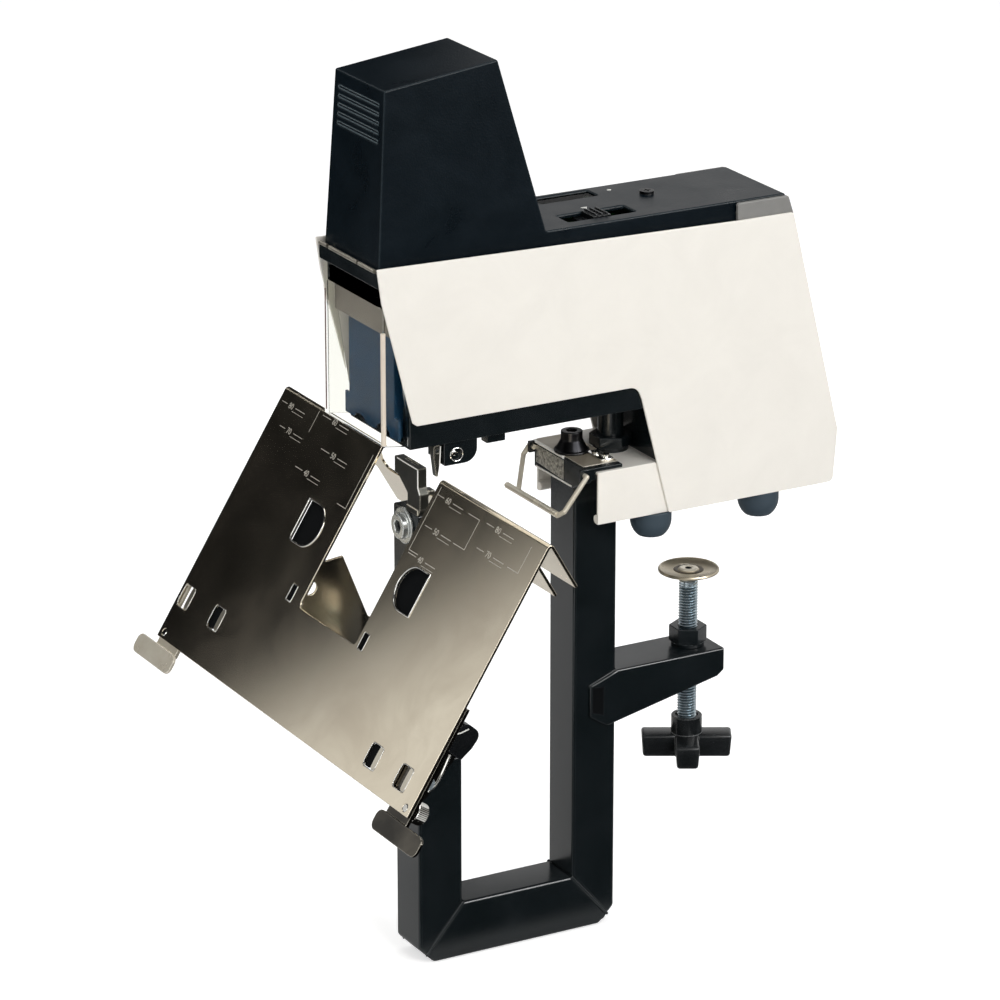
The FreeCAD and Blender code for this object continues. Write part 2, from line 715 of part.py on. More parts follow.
def deck_screw():
    head = rod((deck_screw_x, deck_screw_y, deck_z), (deck_screw_x, deck_screw_y, deck_z + 1.6), 3.6)
    shank = rod((deck_screw_x, deck_screw_y, board_top_z + 1), (deck_screw_x, deck_screw_y, deck_z), 2.0)
    cross = block((deck_screw_x - 2.2, deck_screw_x + 2.2), (deck_screw_y - 0.5, deck_screw_y + 0.5),
                  (deck_z + 0.7, deck_z + 2))
    cross_two = block((deck_screw_x - 0.5, deck_screw_x + 0.5), (deck_screw_y - 2.2, deck_screw_y + 2.2),
                      (deck_z + 0.7, deck_z + 2))
    return join([head, shank]).cut([cross, cross_two])


slot_mid_y = (slot_y[0] + slot_y[1]) / 2


def slider_knob():
    foot = block((slot_x[0] - 2, slot_x[1] + 2), (slot_mid_y - 9, slot_mid_y + 9),
                 (deck_z - hood_wall - gap - 2, deck_z - hood_wall - gap))
    grip = block((slot_x[0] + gap, slot_x[1] - gap), (slot_mid_y - 5, slot_mid_y + 5),
                 (deck_z - hood_wall - gap, deck_z + 0.6))
    ridges = [block((slot_x[0] + gap, slot_x[1] - gap), (slot_mid_y + d - 0.5, slot_mid_y + d + 0.5),
                    (deck_z + 0.6, deck_z + 1.6)) for d in (-3, 0, 3)]
    return join([foot, grip] + ridges)


def deck_clips():
    def clip(side):
        clip_top_z = deck_z - 0.7
        return profile([(57, hood_bottom_z - 8), (85.5, hood_bottom_z - 8), (85.5, hood_bottom_z - 0.8),
                        (90, hood_bottom_z - 0.8), (86.5, clip_top_z), (57, clip_top_z)],
                       span(side, hood_half + gap, panel_inner - 0.1), [1, 1, 0, 0.5, 1.5, 1.5])
    return group(both_sides(clip))


# ---------------------------------------------------------------- stapling head and guard
guard_pin_y = -138.7
guard_pin_z = 148.5
guard_top_z = guard_pin_z + 3.0
header_z = (153.5, 161.0)
header_y = (-144.0, -136.8)
lug_inner = 26.4
lug_outer = 28.6
lug_front_y = guard_pin_y - pin_radius - 0.9


def guard_header():
    bar = block((-panel_inner + 0.2, panel_inner - 0.2), header_y, header_z)

    def lug(side):
        points = [(header_y[1], header_z[0]), (header_y[1], guard_pin_z - 3), (guard_pin_y - 1, guard_pin_z - 6),
                  (lug_front_y, guard_pin_z - 3), (lug_front_y, guard_top_z + 1.6), (header_y[0] + 0.8, header_z[0])]
        cheek = profile(points, span(side, lug_inner, lug_outer))
        hole = rod((side * 20, guard_pin_y, guard_pin_z), (side * 32, guard_pin_y, guard_pin_z), pin_radius + 0.02)
        return cheek.cut(hole)

    return join([bar] + both_sides(lug))


def guard_pin():
    reach = guard_half - 0.2
    return rod((-reach, guard_pin_y, guard_pin_z), (reach, guard_pin_y, guard_pin_z), pin_radius)


def front_guard():
    face = block((-guard_half, guard_half), (guard_front_y, guard_front_y + guard_sheet),
                 (guard_low_z, guard_top_z))
    wing_rear_y = rail_front_y - 0.9
    wing_points = [(guard_front_y, guard_top_z), (guard_front_y, guard_low_z), (wing_rear_y, guard_low_z - 2),
                   (wing_rear_y, panel_low_z + 2), (guard_pin_y + 2.2, guard_pin_z - 6),
                   (guard_pin_y + 2.2, guard_top_z)]

    def wing(side):
        return profile(wing_points, span(side, guard_half - guard_sheet, guard_half))

    def lug_notch(side):
        return block(span(side, lug_inner - gap, lug_outer + gap), (guard_front_y - 1, guard_front_y + guard_sheet + 1),
                     (guard_pin_z - 5.5, guard_top_z + 1))

    pin_hole = rod((-40, guard_pin_y, guard_pin_z), (40, guard_pin_y, guard_pin_z), pin_radius + fit)
    return join([face] + both_sides(wing)).cut(both_sides(lug_notch) + [pin_hole])


head_half = 28.6


def head_plate():
    front_y = header_y[1] + 0.4
    face = block((-head_half, head_half), (front_y, front_y + sheet), (127.3, guide_top_z - 0.2))
    shelf = block((-guide_half, guide_half), (front_y, staple_y - guide_depth / 2 - gap),
                  (guide_top_z - 0.2 - sheet, guide_top_z - 0.2))
    return join([face, shelf])


face_half = 23.0
face_front_y = -132.0


def magazine_face():
    face = block((-face_half, face_half), (face_front_y, face_front_y + sheet), (74, 127))

    def wing(side):
        return profile([(face_front_y, 127), (face_front_y, 74), (staple_y - 2, rail_floor_z + 3), (staple_y - 2, 127)],
                       span(side, guide_half + gap, face_half))

    feet = block((-face_half - 4.5, face_half + 4.5), (face_front_y, face_front_y + sheet), (74, 85))
    shell = join([face, feet] + both_sides(wing))
    waves = [rod((x, face_front_y - 2, z), (x, face_front_y + 4, z), 9) for x, z in ((-12, 68), (11, 69.5))]
    return shell.cut(waves)


def head_guide():
    y = (staple_y - guide_depth / 2, staple_y + guide_depth / 2)
    body = block((-guide_half, guide_half), y, (rail_floor_z, guide_top_z))
    tunnel = block((-magazine_half - gap, magazine_half + gap), y, (rail_floor_z, magazine_top_z + gap))
    slot = block((-blade_width / 2 - fit * 2, blade_width / 2 + fit * 2),
                 (staple_y - blade_thick / 2 - fit, staple_y + blade_thick / 2 + fit), (rail_floor_z, guide_top_z))
    bore = rod((0, staple_y, guide_top_z - 4 - stroke), (0, staple_y, guide_top_z + 1), plunger_radius + gap)
    nose = block((-magazine_half - gap, magazine_half + gap), (y[0], staple_y - 2.2),
                 (rail_floor_z, magazine_top_z + gap))
    return join([body.cut(tunnel), nose]).cut([slot, bore])


def magazine_channel():
    front_y = staple_y + 2.8
    rear_y = front_y + magazine_length
    floor = block((-magazine_half, magazine_half), (front_y, rear_y), (rail_floor_z, rail_floor_z + magazine_sheet))

    def wall(side):
        return block(span(side, magazine_half - magazine_sheet, magazine_half), (front_y, rear_y),
                     (rail_floor_z, magazine_top_z))

    core_half = staple_crown / 2 - 0.8
    core = block((-core_half, core_half), (front_y, rear_y), (rail_floor_z, strip_top_z - 0.9))
    return join([floor, core] + both_sides(wall))


strip_top_z = rail_floor_z + magazine_sheet + 0.3 + staple_leg
strip_length = 58.0


def straddle(y, x_half, wall, top_z, low_z):
    """An inverted channel over the magazine's core."""
    outer = block((-x_half, x_half), y, (low_z, top_z))
    inner = block((-x_half + wall, x_half - wall), y, (low_z - 1, top_z - wall))
    return outer.cut(inner)


def staple_strip():
    y = (staple_y + blade_thick / 2 + fit * 2, staple_y + strip_length)
    return straddle(y, staple_crown / 2, 0.6, strip_top_z, strip_top_z - staple_leg)


def staple_pusher():
    front = staple_y + strip_length + gap
    body = straddle((front, front + 9), staple_crown / 2, 0.6, strip_top_z, strip_top_z - staple_leg)
    tab = block((-4, 4), (front + 1, front + 8), (strip_top_z, magazine_top_z + 2))
    return join([body, tab])


solenoid_low = guide_top_z
solenoid_top = guide_top_z + solenoid_height


def solenoid_frame():
    half = solenoid_size / 2
    outer = block((-half, half), (staple_y - half, staple_y + half), (solenoid_low, solenoid_top))
    inner = block((-half + solenoid_plate, half - solenoid_plate), (staple_y - half, staple_y + half),
                  (solenoid_low + solenoid_plate, solenoid_top - solenoid_plate))
    bore = rod((0, staple_y, solenoid_low - 1), (0, staple_y, solenoid_top + 1), plunger_radius + fit)
    return outer.cut([inner, bore])


def solenoid_coil():
    radius = solenoid_size / 2 - solenoid_plate - 0.4
    z = (solenoid_low + solenoid_plate + 0.1, solenoid_top - solenoid_plate - 0.1)
    body = rod((0, staple_y, z[0]), (0, staple_y, z[1]), radius)
    return body.cut(rod((0, staple_y, z[0] - 1), (0, staple_y, z[1] + 1), plunger_radius + gap))


plunger_low = guide_top_z - 2.0
spring_low = solenoid_top
spring_high = 244.0
stem_radius = 4.0


def plunger():
    body = rod((0, staple_y, plunger_low), (0, staple_y, spring_low), plunger_radius)
    stem = rod((0, staple_y, spring_low), (0, staple_y, spring_high), stem_radius)
    cap = rod((0, staple_y, spring_high), (0, staple_y, spring_high + 2), plunger_radius + 1.5)
    return join([body, stem, cap])


def return_spring():
    wire = 0.8
    turns = 7
    radius = stem_radius + 2.4
    height = spring_high - spring_low - 2 * wire - 1.6
    helix = Part.makeHelix(height / turns, height, radius)
    circle = Part.Wire(Part.makeCircle(wire, Vector(radius, 0, 0), Vector(0, 1, height / turns / 6.283 / radius)))
    coil = Part.Wire(helix).makePipeShell([circle], True, True)
    coil.translate(Vector(0, staple_y, spring_low + wire + 0.8))
    return coil


def driver_blade():
    low = strip_top_z + 0.7
    return block((-blade_width / 2, blade_width / 2), (staple_y - blade_thick / 2, staple_y + blade_thick / 2),
                 (low, plunger_low))


# ---------------------------------------------------------------- saddle and its stops
slope = math.radians(saddle_slope)
down = Vector(0, -math.cos(slope), -math.sin(slope))
inward = Vector(0, math.sin(slope), -math.cos(slope))
ridge = Vector(0, ridge_y, ridge_z)
flap_angle = math.radians(flap_slope)
flap_down = Vector(0, math.cos(flap_angle), -math.sin(flap_angle))
flap_in = Vector(0, -math.sin(flap_angle), -math.cos(flap_angle))


def on_slope(shape):
    """Moves a shape from x, distance down the slope and depth to its place on the saddle."""
    shape.Placement = Placement(Matrix(1, 0, 0, 0, 0, down.y, inward.y, ridge_y,
                                       0, down.z, inward.z, ridge_z, 0, 0, 0, 1)).multiply(shape.Placement)
    return shape


def on_flap(shape):
    """The same for the rear flap."""
    shape.Placement = Placement(Matrix(-1, 0, 0, 0, 0, flap_down.y, flap_in.y, ridge_y,
                                       0, flap_down.z, flap_in.z, ridge_z, 0, 0, 0, 1)).multiply(shape.Placement)
    return shape


def folded(length, x):
    """The sheet's section from the lower edge over the ridge to the end of the flap."""
    bisector = (down + flap_down).normalize()
    depth = saddle_sheet / math.sin(down.getAngle(flap_down) / 2)
    low = ridge + down * saddle_length
    end = ridge + flap_down * length
    corners = [low, ridge, end, end + flap_in * saddle_sheet, ridge + bisector * depth,
               low + inward * saddle_sheet]
    return profile([(p.y, p.z) for p in corners], x, [0, 2.2, 0, 0, 0.7, 0])


slot_half = 5.7
slot_reach = 6.2
window_s = (44.0, 67.0)
guide_slots = ((8.3 - saddle_half, saddle_length - 25), (43.2 - saddle_half, saddle_length - 25),
               (saddle_half - 47.7, saddle_length - 14.5), (saddle_half - 17.7, saddle_length - 14.5))
stop_nut_x = saddle_half - 5
stop_nut_s = saddle_length - 3.5
stop_travel = 50.0
stop_depth = saddle_sheet + gap


def ear_outline():
    """The ear runs from the fold at the notch's edge down to the seat pin."""
    top = ridge + down * (notch_length - 25.5) + inward * 0.7
    low = ridge + down * notch_length + inward * 0.7
    return [(top.y, top.z), (top.y + 11.2, top.z + 1.2), (-119.5, -37), (post_rear_y + 3, -50),
            (post_rear_y + 4, -72), (post_rear_y - 9, -78), (low.y + 3, low.z - 10), (low.y, low.z)]


def pin_path():
    """The way that the seat pin takes through an ear while the saddle turns."""
    turn = Vector(0, turn_y, turn_z)
    pin = Vector(0, post_y, seat_pin_z)
    arm = (pin - turn).Length
    start = math.degrees(math.atan2(pin.z - turn.z, pin.y - turn.y))
    play = seat_pin_radius + gap
    sector = Part.makeCylinder(arm + play, 100, Vector(-50, 0, 0), Vector(1, 0, 0))
    sector = sector.cut(Part.makeCylinder(arm - play, 100, Vector(-50, 0, 0), Vector(1, 0, 0)))
    reach = math.radians(start + turn_angle + 12)
    first = math.radians(start)
    far = 2 * arm
    middle = (first + reach) / 2
    wedge = profile([(0, 0), (far * math.cos(first), far * math.sin(first)),
                     (far * math.cos(middle), far * math.sin(middle)),
                     (far * math.cos(reach), far * math.sin(reach))], (-50, 50))
    sector = sector.common(wedge)
    sector.translate(turn)
    return sector.fuse(rod((-50, pin.y, pin.z), (50, pin.y, pin.z), play))


def d_window(flat_x, round_x):
    """A D shaped window with its flat side at flat_x."""
    top, low = window_s
    middle = (top + low) / 2
    straight = (flat_x + round_x) / 2
    edges = [Part.LineSegment(Vector(flat_x, low, -3), Vector(flat_x, top, -3)).toShape(),
             Part.LineSegment(Vector(flat_x, top, -3), Vector(straight, top, -3)).toShape(),
             Part.Arc(Vector(straight, top, -3), Vector(round_x, middle, -3), Vector(straight, low, -3)).toShape(),
             Part.LineSegment(Vector(straight, low, -3), Vector(flat_x, low, -3)).toShape()]
    return on_slope(Part.Face(Part.Wire(edges)).extrude(Vector(0, 0, 8)))


def saddle():
    sides = folded(flap_length, (-saddle_half, saddle_half))
    band = on_flap(block(band_x, (flap_length - 1, band_length), (0, saddle_sheet)))
    sheet_body = join([sides, band])
    notch = plan([(-notch_half, -14), (notch_half, -14), (notch_half, notch_length), (-notch_half, notch_length)],
                 (-4, 12), [0, 0, 3, 3])
    flap_notch = plan([(-40, 3), (40, 3), (53, 25), (-53, 25)], (-5, saddle_sheet + gap), [2, 2, 4, 4])
    cuts = [on_slope(notch), on_flap(flap_notch), d_window(-66.5, -44.0), d_window(60.0, 38.2)]
    for x, s in guide_slots:
        opening = rectangle((x - slot_half, x + slot_half), (s - slot_reach, s + slot_reach))
        cuts.append(on_slope(plan(opening, (-2, 4), [1.6, 1.6, 1.6, 1.6])))
    for x in (-41.2, 35.4):
        cuts.append(on_slope(block((x - 2.5, x + 2.5), (84.5, 93.5), (-2, 4))))
    for side in (-1, 1):
        nut_x = side * stop_nut_x
        cuts.append(on_slope(rod((nut_x, stop_nut_s, -2), (nut_x, stop_nut_s, 4), 2.02)))
    sheet_body = sheet_body.cut(cuts)

    def ear(side):
        blank = profile(ear_outline(), span(side, notch_half, notch_half + saddle_sheet))
        relief = ridge + down * (notch_length - 11) + inward * 1.2
        return blank.cut([pin_path(), rod((-40, relief.y, relief.z), (40, relief.y, relief.z), 3.6)])

    tab_reach = slot_reach - 1.6
    tabs = [on_slope(block((x + slot_half - 1.2, x + slot_half), (s - tab_reach, s + tab_reach),
                           (0.5, saddle_sheet + 5)))
            for x, s in guide_slots[1:3]]
    return join([sheet_body] + both_sides(ear) + tabs)


def stop_plate(side, plate_width, blade_inset, blade_reach):
    """A stop: a plate under the saddle, with a blade that reaches out beyond the saddle's lower corner."""
    thick = 2.0
    low = saddle_length + 3.5
    corner = 4.0
    blade_x = (saddle_half - blade_inset, saddle_half + blade_reach)
    x = span(side, saddle_half - plate_width, saddle_half)
    plate = block(x, (low - 62, saddle_length - 1), (stop_depth, stop_depth + thick))
    tongue_x = span(side, blade_x[0] + corner, saddle_half)
    tongue = block(tongue_x, (saddle_length - 3, low), (stop_depth, stop_depth + thick))
    riser = block(tongue_x, (low, low + 1.5), (0, stop_depth + thick))
    blade = plan(rectangle(span(side, *blade_x), (low, low + 10.5)), (0, 1.5), [corner] * 4)
    nut_x = side * stop_nut_x
    slot_top = stop_nut_s - stop_travel - 2.5
    slot = plan(rectangle((nut_x - 2.3, nut_x + 2.3), (slot_top, stop_nut_s + 2.5)), (0, 8), [2.2, 2.2, 2.2, 2.2])
    return on_slope(join([plate, tongue, riser, blade]).cut(slot))


def stop_nuts():
    nuts = []
    for side in (-1, 1):
        x = side * stop_nut_x
        stud = rod((x, stop_nut_s, 0.3), (x, stop_nut_s, 6), 2.0)
        knurl = rod((x, stop_nut_s, 4.4), (x, stop_nut_s, 10.5), 5.5)
        collar = rod((x, stop_nut_s, 10.5), (x, stop_nut_s, 12), 4.0)
        nuts.append(on_slope(join([stud, knurl, collar])))
    return group(nuts)


# ---------------------------------------------------------------- lever on the front leg
lever_y = -112.0
lever_z = -112.0
lever_x = (16.0, 18.0)
lever_tilt = 48.0


def lever_pivot():
    stud = rod((half_tube, lever_y, lever_z), (lever_x[1] + 1.2, lever_y, lever_z), 2.5)
    collar = rod((half_tube, lever_y, lever_z), (lever_x[0] - gap, lever_y, lever_z), 4.5)
    head = rod((lever_x[1] + gap, lever_y, lever_z), (lever_x[1] + 1.2, lever_y, lever_z), 3.6)
    return join([stud, collar, head])


def along_lever(shape):
    """Turns a shape drawn along +Y, from the pivot, to the lever's tilt."""
    shape.rotate(Vector(0, 0, 0), Vector(1, 0, 0), lever_tilt)
    shape.translate(Vector(0, lever_y, lever_z))
    return shape


def table_lever():
    arm = profile([(-10, -4.8), (23, -4.8), (23, 4.8), (-10, 4.8)], lever_x, [4.5, 2, 2, 4.5])
    bore = rod((lever_x[0] - 1, 0, 0), (lever_x[1] + 1, 0, 0), 2.5 + fit)
    return along_lever(arm.cut(bore))


def lever_grip():
    grip = profile([(19, -5.4), (27, -6.8), (36, -6.2), (36, 6.2), (27, 6), (19, 5.4)],
                   (lever_x[0] - 3, lever_x[1] + 4), [1, 6, 4.5, 4.5, 6, 1])
    socket = profile([(18, -4.9), (23.1, -4.9), (23.1, 4.9), (18, 4.9)], (lever_x[0] - 0.02, lever_x[1] + 0.02))
    return along_lever(grip.cut(socket))


# ---------------------------------------------------------------- files
single_pieces = [column_tube, lower_beam, front_leg, anvil_post, seat_pin, anvil, anvil_screw, clamp_arm, clamp_nut,
                 clamp_pad, clamp_spindle, clamp_knob, base_tray, base_plate, rubber_feet, column_cap, cap_screw,
                 latch_bail, tie_post, tie_nut, rear_cover, power_inlet, foot_switch_socket, power_switch,
                 chassis_rail, notch_bulkhead, trigger_bracket, trigger_feeler, top_hood, circuit_board,
                 board_window, deck_screw, slider_knob, deck_clips, guard_header, guard_pin, front_guard,
                 head_plate, magazine_face, head_guide, magazine_channel, staple_strip, staple_pusher,
                 solenoid_frame, solenoid_coil, plunger, return_spring, driver_blade, saddle, stop_nuts,
                 lever_pivot, table_lever, lever_grip]

for piece in single_pieces:
    save(piece.__name__, piece())
save("side_panel_left", side_panel(-1))
save("side_panel_right", side_panel(1))
save("stop_left", stop_plate(-1, 38.7, 26.0, 16.0))
save("stop_right", stop_plate(1, 41.5, 24.0, 20.0))
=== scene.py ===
# %% [markdown]
# # An electric saddle stapler on a table clamp
# The machine has a sheet and plastic head, a U frame of square tube, a folded nickel saddle and a
# table clamp.
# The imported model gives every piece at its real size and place, in metres. This lesson gives each
# piece its finish, rounds the edges that catch the light, and adds the small forms that a plain
# solid leaves out, such as threads, weld beads, knurls and scale marks.

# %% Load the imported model
import json
import math
import bpy
from mathutils import Matrix, Vector


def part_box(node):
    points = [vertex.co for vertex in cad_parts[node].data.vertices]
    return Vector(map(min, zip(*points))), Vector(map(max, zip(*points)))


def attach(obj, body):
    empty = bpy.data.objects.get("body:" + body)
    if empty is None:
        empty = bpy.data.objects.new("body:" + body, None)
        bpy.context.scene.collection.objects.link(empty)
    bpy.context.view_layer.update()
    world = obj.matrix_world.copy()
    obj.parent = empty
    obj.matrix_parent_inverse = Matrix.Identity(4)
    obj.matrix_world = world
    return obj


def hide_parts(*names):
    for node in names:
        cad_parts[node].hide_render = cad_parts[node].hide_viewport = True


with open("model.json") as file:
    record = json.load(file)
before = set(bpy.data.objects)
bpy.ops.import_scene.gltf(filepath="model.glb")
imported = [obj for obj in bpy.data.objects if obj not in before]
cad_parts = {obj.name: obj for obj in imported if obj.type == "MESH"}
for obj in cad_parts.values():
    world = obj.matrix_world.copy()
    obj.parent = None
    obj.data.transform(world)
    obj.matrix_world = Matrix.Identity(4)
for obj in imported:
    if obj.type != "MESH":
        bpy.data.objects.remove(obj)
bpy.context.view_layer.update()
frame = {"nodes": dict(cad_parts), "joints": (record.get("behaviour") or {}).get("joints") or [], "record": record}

# %% [markdown]
# ## The camera
# A long lens from the front right, a little above the machine, keeps the tubes nearly parallel.
# The camera's aim is worked out from two angles, and its place is given as a point, so both are easy to change.

# %% Camera
AZIMUTH = math.radians(60.79)
ELEVATION = math.radians(19.63)
toward = Vector((math.sin(AZIMUTH) * math.cos(ELEVATION), -math.cos(AZIMUTH) * math.cos(ELEVATION),
                 math.sin(ELEVATION)))
lens = bpy.data.cameras.new("camera")
lens.lens = 177.55
lens.clip_end = 30
camera = bpy.data.objects.new("camera", lens)
bpy.context.scene.collection.objects.link(camera)
camera.location = (2.016577, -1.187989, 0.847561)
camera.rotation_euler = toward.to_track_quat("Z", "Y").to_euler()
bpy.context.scene.camera = camera
bpy.context.scene.view_settings.view_transform = "Standard"
print("camera at", [round(c, 3) for c in camera.location])


# %% [markdown]
# ## Small helpers
# Operators act on what is selected, so each step first selects one piece alone. A colour is
# written as on a paint card, from 0 to 255, and turned into the linear values that light uses.

# %% Selecting, colours and ending a piece
def only(piece):
    if bpy.context.object and bpy.context.object.mode != "OBJECT":
        bpy.ops.object.mode_set(mode="OBJECT")
    bpy.ops.object.select_all(action="DESELECT")
    piece.select_set(True)
    bpy.context.view_layer.objects.active = piece


def paint_card(red, green, blue):
    def linear(value):
        value = value / 255
        return value / 12.92 if value <= 0.04045 else ((value + 0.055) / 1.055) ** 2.4
    return (linear(red), linear(green), linear(blue), 1)


def link(source, output, target, socket):
    source.id_data.links.new(source.outputs[output], target.inputs[socket])


def maths(nodes, operation):
    node = nodes.new("ShaderNodeMath")
    node.operation = operation
    return node


def map_range(nodes, **limits):
    """A Map Range node; from_min stands for its input From Min, and so on."""
    node = nodes.new("ShaderNodeMapRange")
    for label, value in limits.items():
        node.inputs[label.replace("_", " ").title()].default_value = value
    return node


def mm(*values):
    return Vector([value / 1000 for value in values])


def settle(piece):
    """Moves the object's place into its mesh, so that the object stands at the origin."""
    only(piece)
    bpy.ops.object.transform_apply(location=True, rotation=True, scale=True)


def edit_all(piece, *steps):
    """Runs each (operator, options) on the whole mesh in edit mode."""
    only(piece)
    bpy.ops.object.mode_set(mode="EDIT")
    bpy.ops.mesh.select_all(action="SELECT")
    for operator, options in steps:
        operator(**options)
    bpy.ops.object.mode_set(mode="OBJECT")


def outwards(piece):
    edit_all(piece, (bpy.ops.mesh.normals_make_consistent, {"inside": False}))


def fresh(name):
    piece = bpy.context.object
    piece.name = name
    return piece


def primitive(name, kind, **options):
    bpy.ops.object.select_all(action="DESELECT")
    getattr(bpy.ops.mesh, "primitive_" + kind + "_add")(**options)
    return fresh(name)


def apply_all(piece):
    only(piece)
    for modifier in list(piece.modifiers):
        bpy.ops.object.modifier_apply(modifier=modifier.name)


def smooth(piece, angle=35):
    only(piece)
    bpy.ops.object.shade_smooth_by_angle(angle=math.radians(angle))


def copy_of(piece, name):
    copy = bpy.data.objects.new(name, piece.data.copy())
    bpy.context.scene.collection.objects.link(copy)
    return copy


def solid_ring(ring, margin, thickness):
    """Fills a ring of points and gives it a thickness, both ways from its plane."""
    edit_all(ring, (bpy.ops.mesh.edge_face_add, {}), (bpy.ops.mesh.inset, {"thickness": margin, "depth": 0}))
    wall = ring.modifiers.new("wall", "SOLIDIFY")
    wall.thickness = thickness / 1000
    wall.offset = 0
    apply_all(ring)


def wear_finish(piece, finish, body):
    """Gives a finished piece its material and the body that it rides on."""
    piece.data.materials.clear()
    piece.data.materials.append(finish)
    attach(piece, body)
    return piece


def end_piece(piece, finish, body, angle=None, turn_out=False):
    """Settles a piece, shades it smooth where an angle is given, and gives it its finish."""
    settle(piece)
    if turn_out:
        outwards(piece)
    if angle:
        smooth(piece, angle)
    return wear_finish(piece, finish, body)


body_of_node = {}
for body_name, members in frame["record"]["behaviour"]["bodies"].items():
    for member in members:
        body_of_node[member] = body_name
slot_of_node = {part["node"]: part["material_slot"] for part in frame["record"]["subparts"]}
print("nodes:", len(body_of_node))


# %% [markdown]
# ## The studio
# The machine hangs just above a plain pale floor in an even light room. Three large soft lamps give
# the light, and two more are seen only as glints. Dark screens on the left and flat on the floor are
# seen only by shiny surfaces, which gives a polished sheet its depth.

# %% Floor and room
FLOOR_Z = -0.2142
floor = primitive("floor", "plane", size=40, location=(0, 0, FLOOR_Z))
floor_paint = bpy.data.materials.new("floor_paint")
floor_paint.use_nodes = True
nodes = floor_paint.node_tree.nodes
nodes.clear()
out = nodes.new("ShaderNodeOutputMaterial")
chalk = nodes.new("ShaderNodeBsdfDiffuse")
chalk.inputs["Color"].default_value = (0.80, 0.80, 0.80, 1)
glow = nodes.new("ShaderNodeEmission")
glow.inputs["Strength"].default_value = 0.55
path = nodes.new("ShaderNodeLightPath")
seen = maths(nodes, "MAXIMUM")
add = nodes.new("ShaderNodeAddShader")
pick = nodes.new("ShaderNodeMixShader")
link(path, "Is Camera Ray", seen, 0)
link(path, "Is Transmission Ray", seen, 1)
link(chalk, 0, add, 0)
link(glow, 0, add, 1)
link(seen, 0, pick, 0)
link(chalk, 0, pick, 1)
link(add, 0, pick, 2)
link(pick, 0, out, "Surface")
floor.data.materials.append(floor_paint)
print("floor at", FLOOR_Z)

# %% World light
world = bpy.data.worlds.new("room")
bpy.context.scene.world = world
world.use_nodes = True
nodes = world.node_tree.nodes
nodes.clear()
out = nodes.new("ShaderNodeOutputWorld")
room = nodes.new("ShaderNodeBackground")
room.inputs["Color"].default_value = (1, 1, 1, 1)
room.inputs["Strength"].default_value = 0.45
white = nodes.new("ShaderNodeBackground")
white.inputs["Color"].default_value = (1, 1, 1, 1)
white.inputs["Strength"].default_value = 1.0
shine = nodes.new("ShaderNodeBackground")
direction = nodes.new("ShaderNodeTexCoord")
height = nodes.new("ShaderNodeSeparateXYZ")
fall = map_range(nodes, from_min=0.30, from_max=0.62, to_min=1.0, to_max=0.06)
fall.interpolation_type = "SMOOTHSTEP"
path = nodes.new("ShaderNodeLightPath")
seen = maths(nodes, "MAXIMUM")
pick_shine = nodes.new("ShaderNodeMixShader")
pick = nodes.new("ShaderNodeMixShader")
link(direction, "Generated", height, 0)
link(height, "Z", fall, "Value")
link(fall, 0, shine, "Strength")
link(path, "Is Glossy Ray", pick_shine, 0)
link(room, 0, pick_shine, 1)
link(shine, 0, pick_shine, 2)
link(path, "Is Camera Ray", seen, 0)
link(path, "Is Transmission Ray", seen, 1)
link(seen, 0, pick, 0)
link(pick_shine, 0, pick, 1)
link(white, 0, pick, 2)
link(pick, 0, out, "Surface")


# %% Lamps
def soft_lamp(name, place, target, size, watts):
    lamp = bpy.data.lights.new(name, "AREA")
    lamp.shape = "RECTANGLE"
    lamp.size, lamp.size_y = size
    lamp.energy = watts
    holder = bpy.data.objects.new(name, lamp)
    bpy.context.scene.collection.objects.link(holder)
    holder.location = place
    holder.rotation_euler = (Vector(place) - Vector(target)).to_track_quat("Z", "Y").to_euler()
    return holder


soft_lamp("key_lamp", (1.7, 0.1, 1.1), (0, -0.05, 0), (1.1, 1.1), 22)
soft_lamp("front_lamp", (0.2, -1.9, 0.9), (0, -0.05, 0), (1.0, 0.9), 9)
soft_lamp("top_lamp", (-0.3, 0.1, 1.9), (0, 0, 0), (1.2, 1.2), 10)
glints = [soft_lamp("glint_right", (1.65, 1.05, 1.0), (0, 0, 0), (0.4, 1.5), 28),
          soft_lamp("glint_left", (-1.75, -0.55, 1.12), (0, -0.05, 0), (0.5, 0.5), 9)]
for glint in glints:
    glint.visible_diffuse = False
    glint.visible_transmission = False

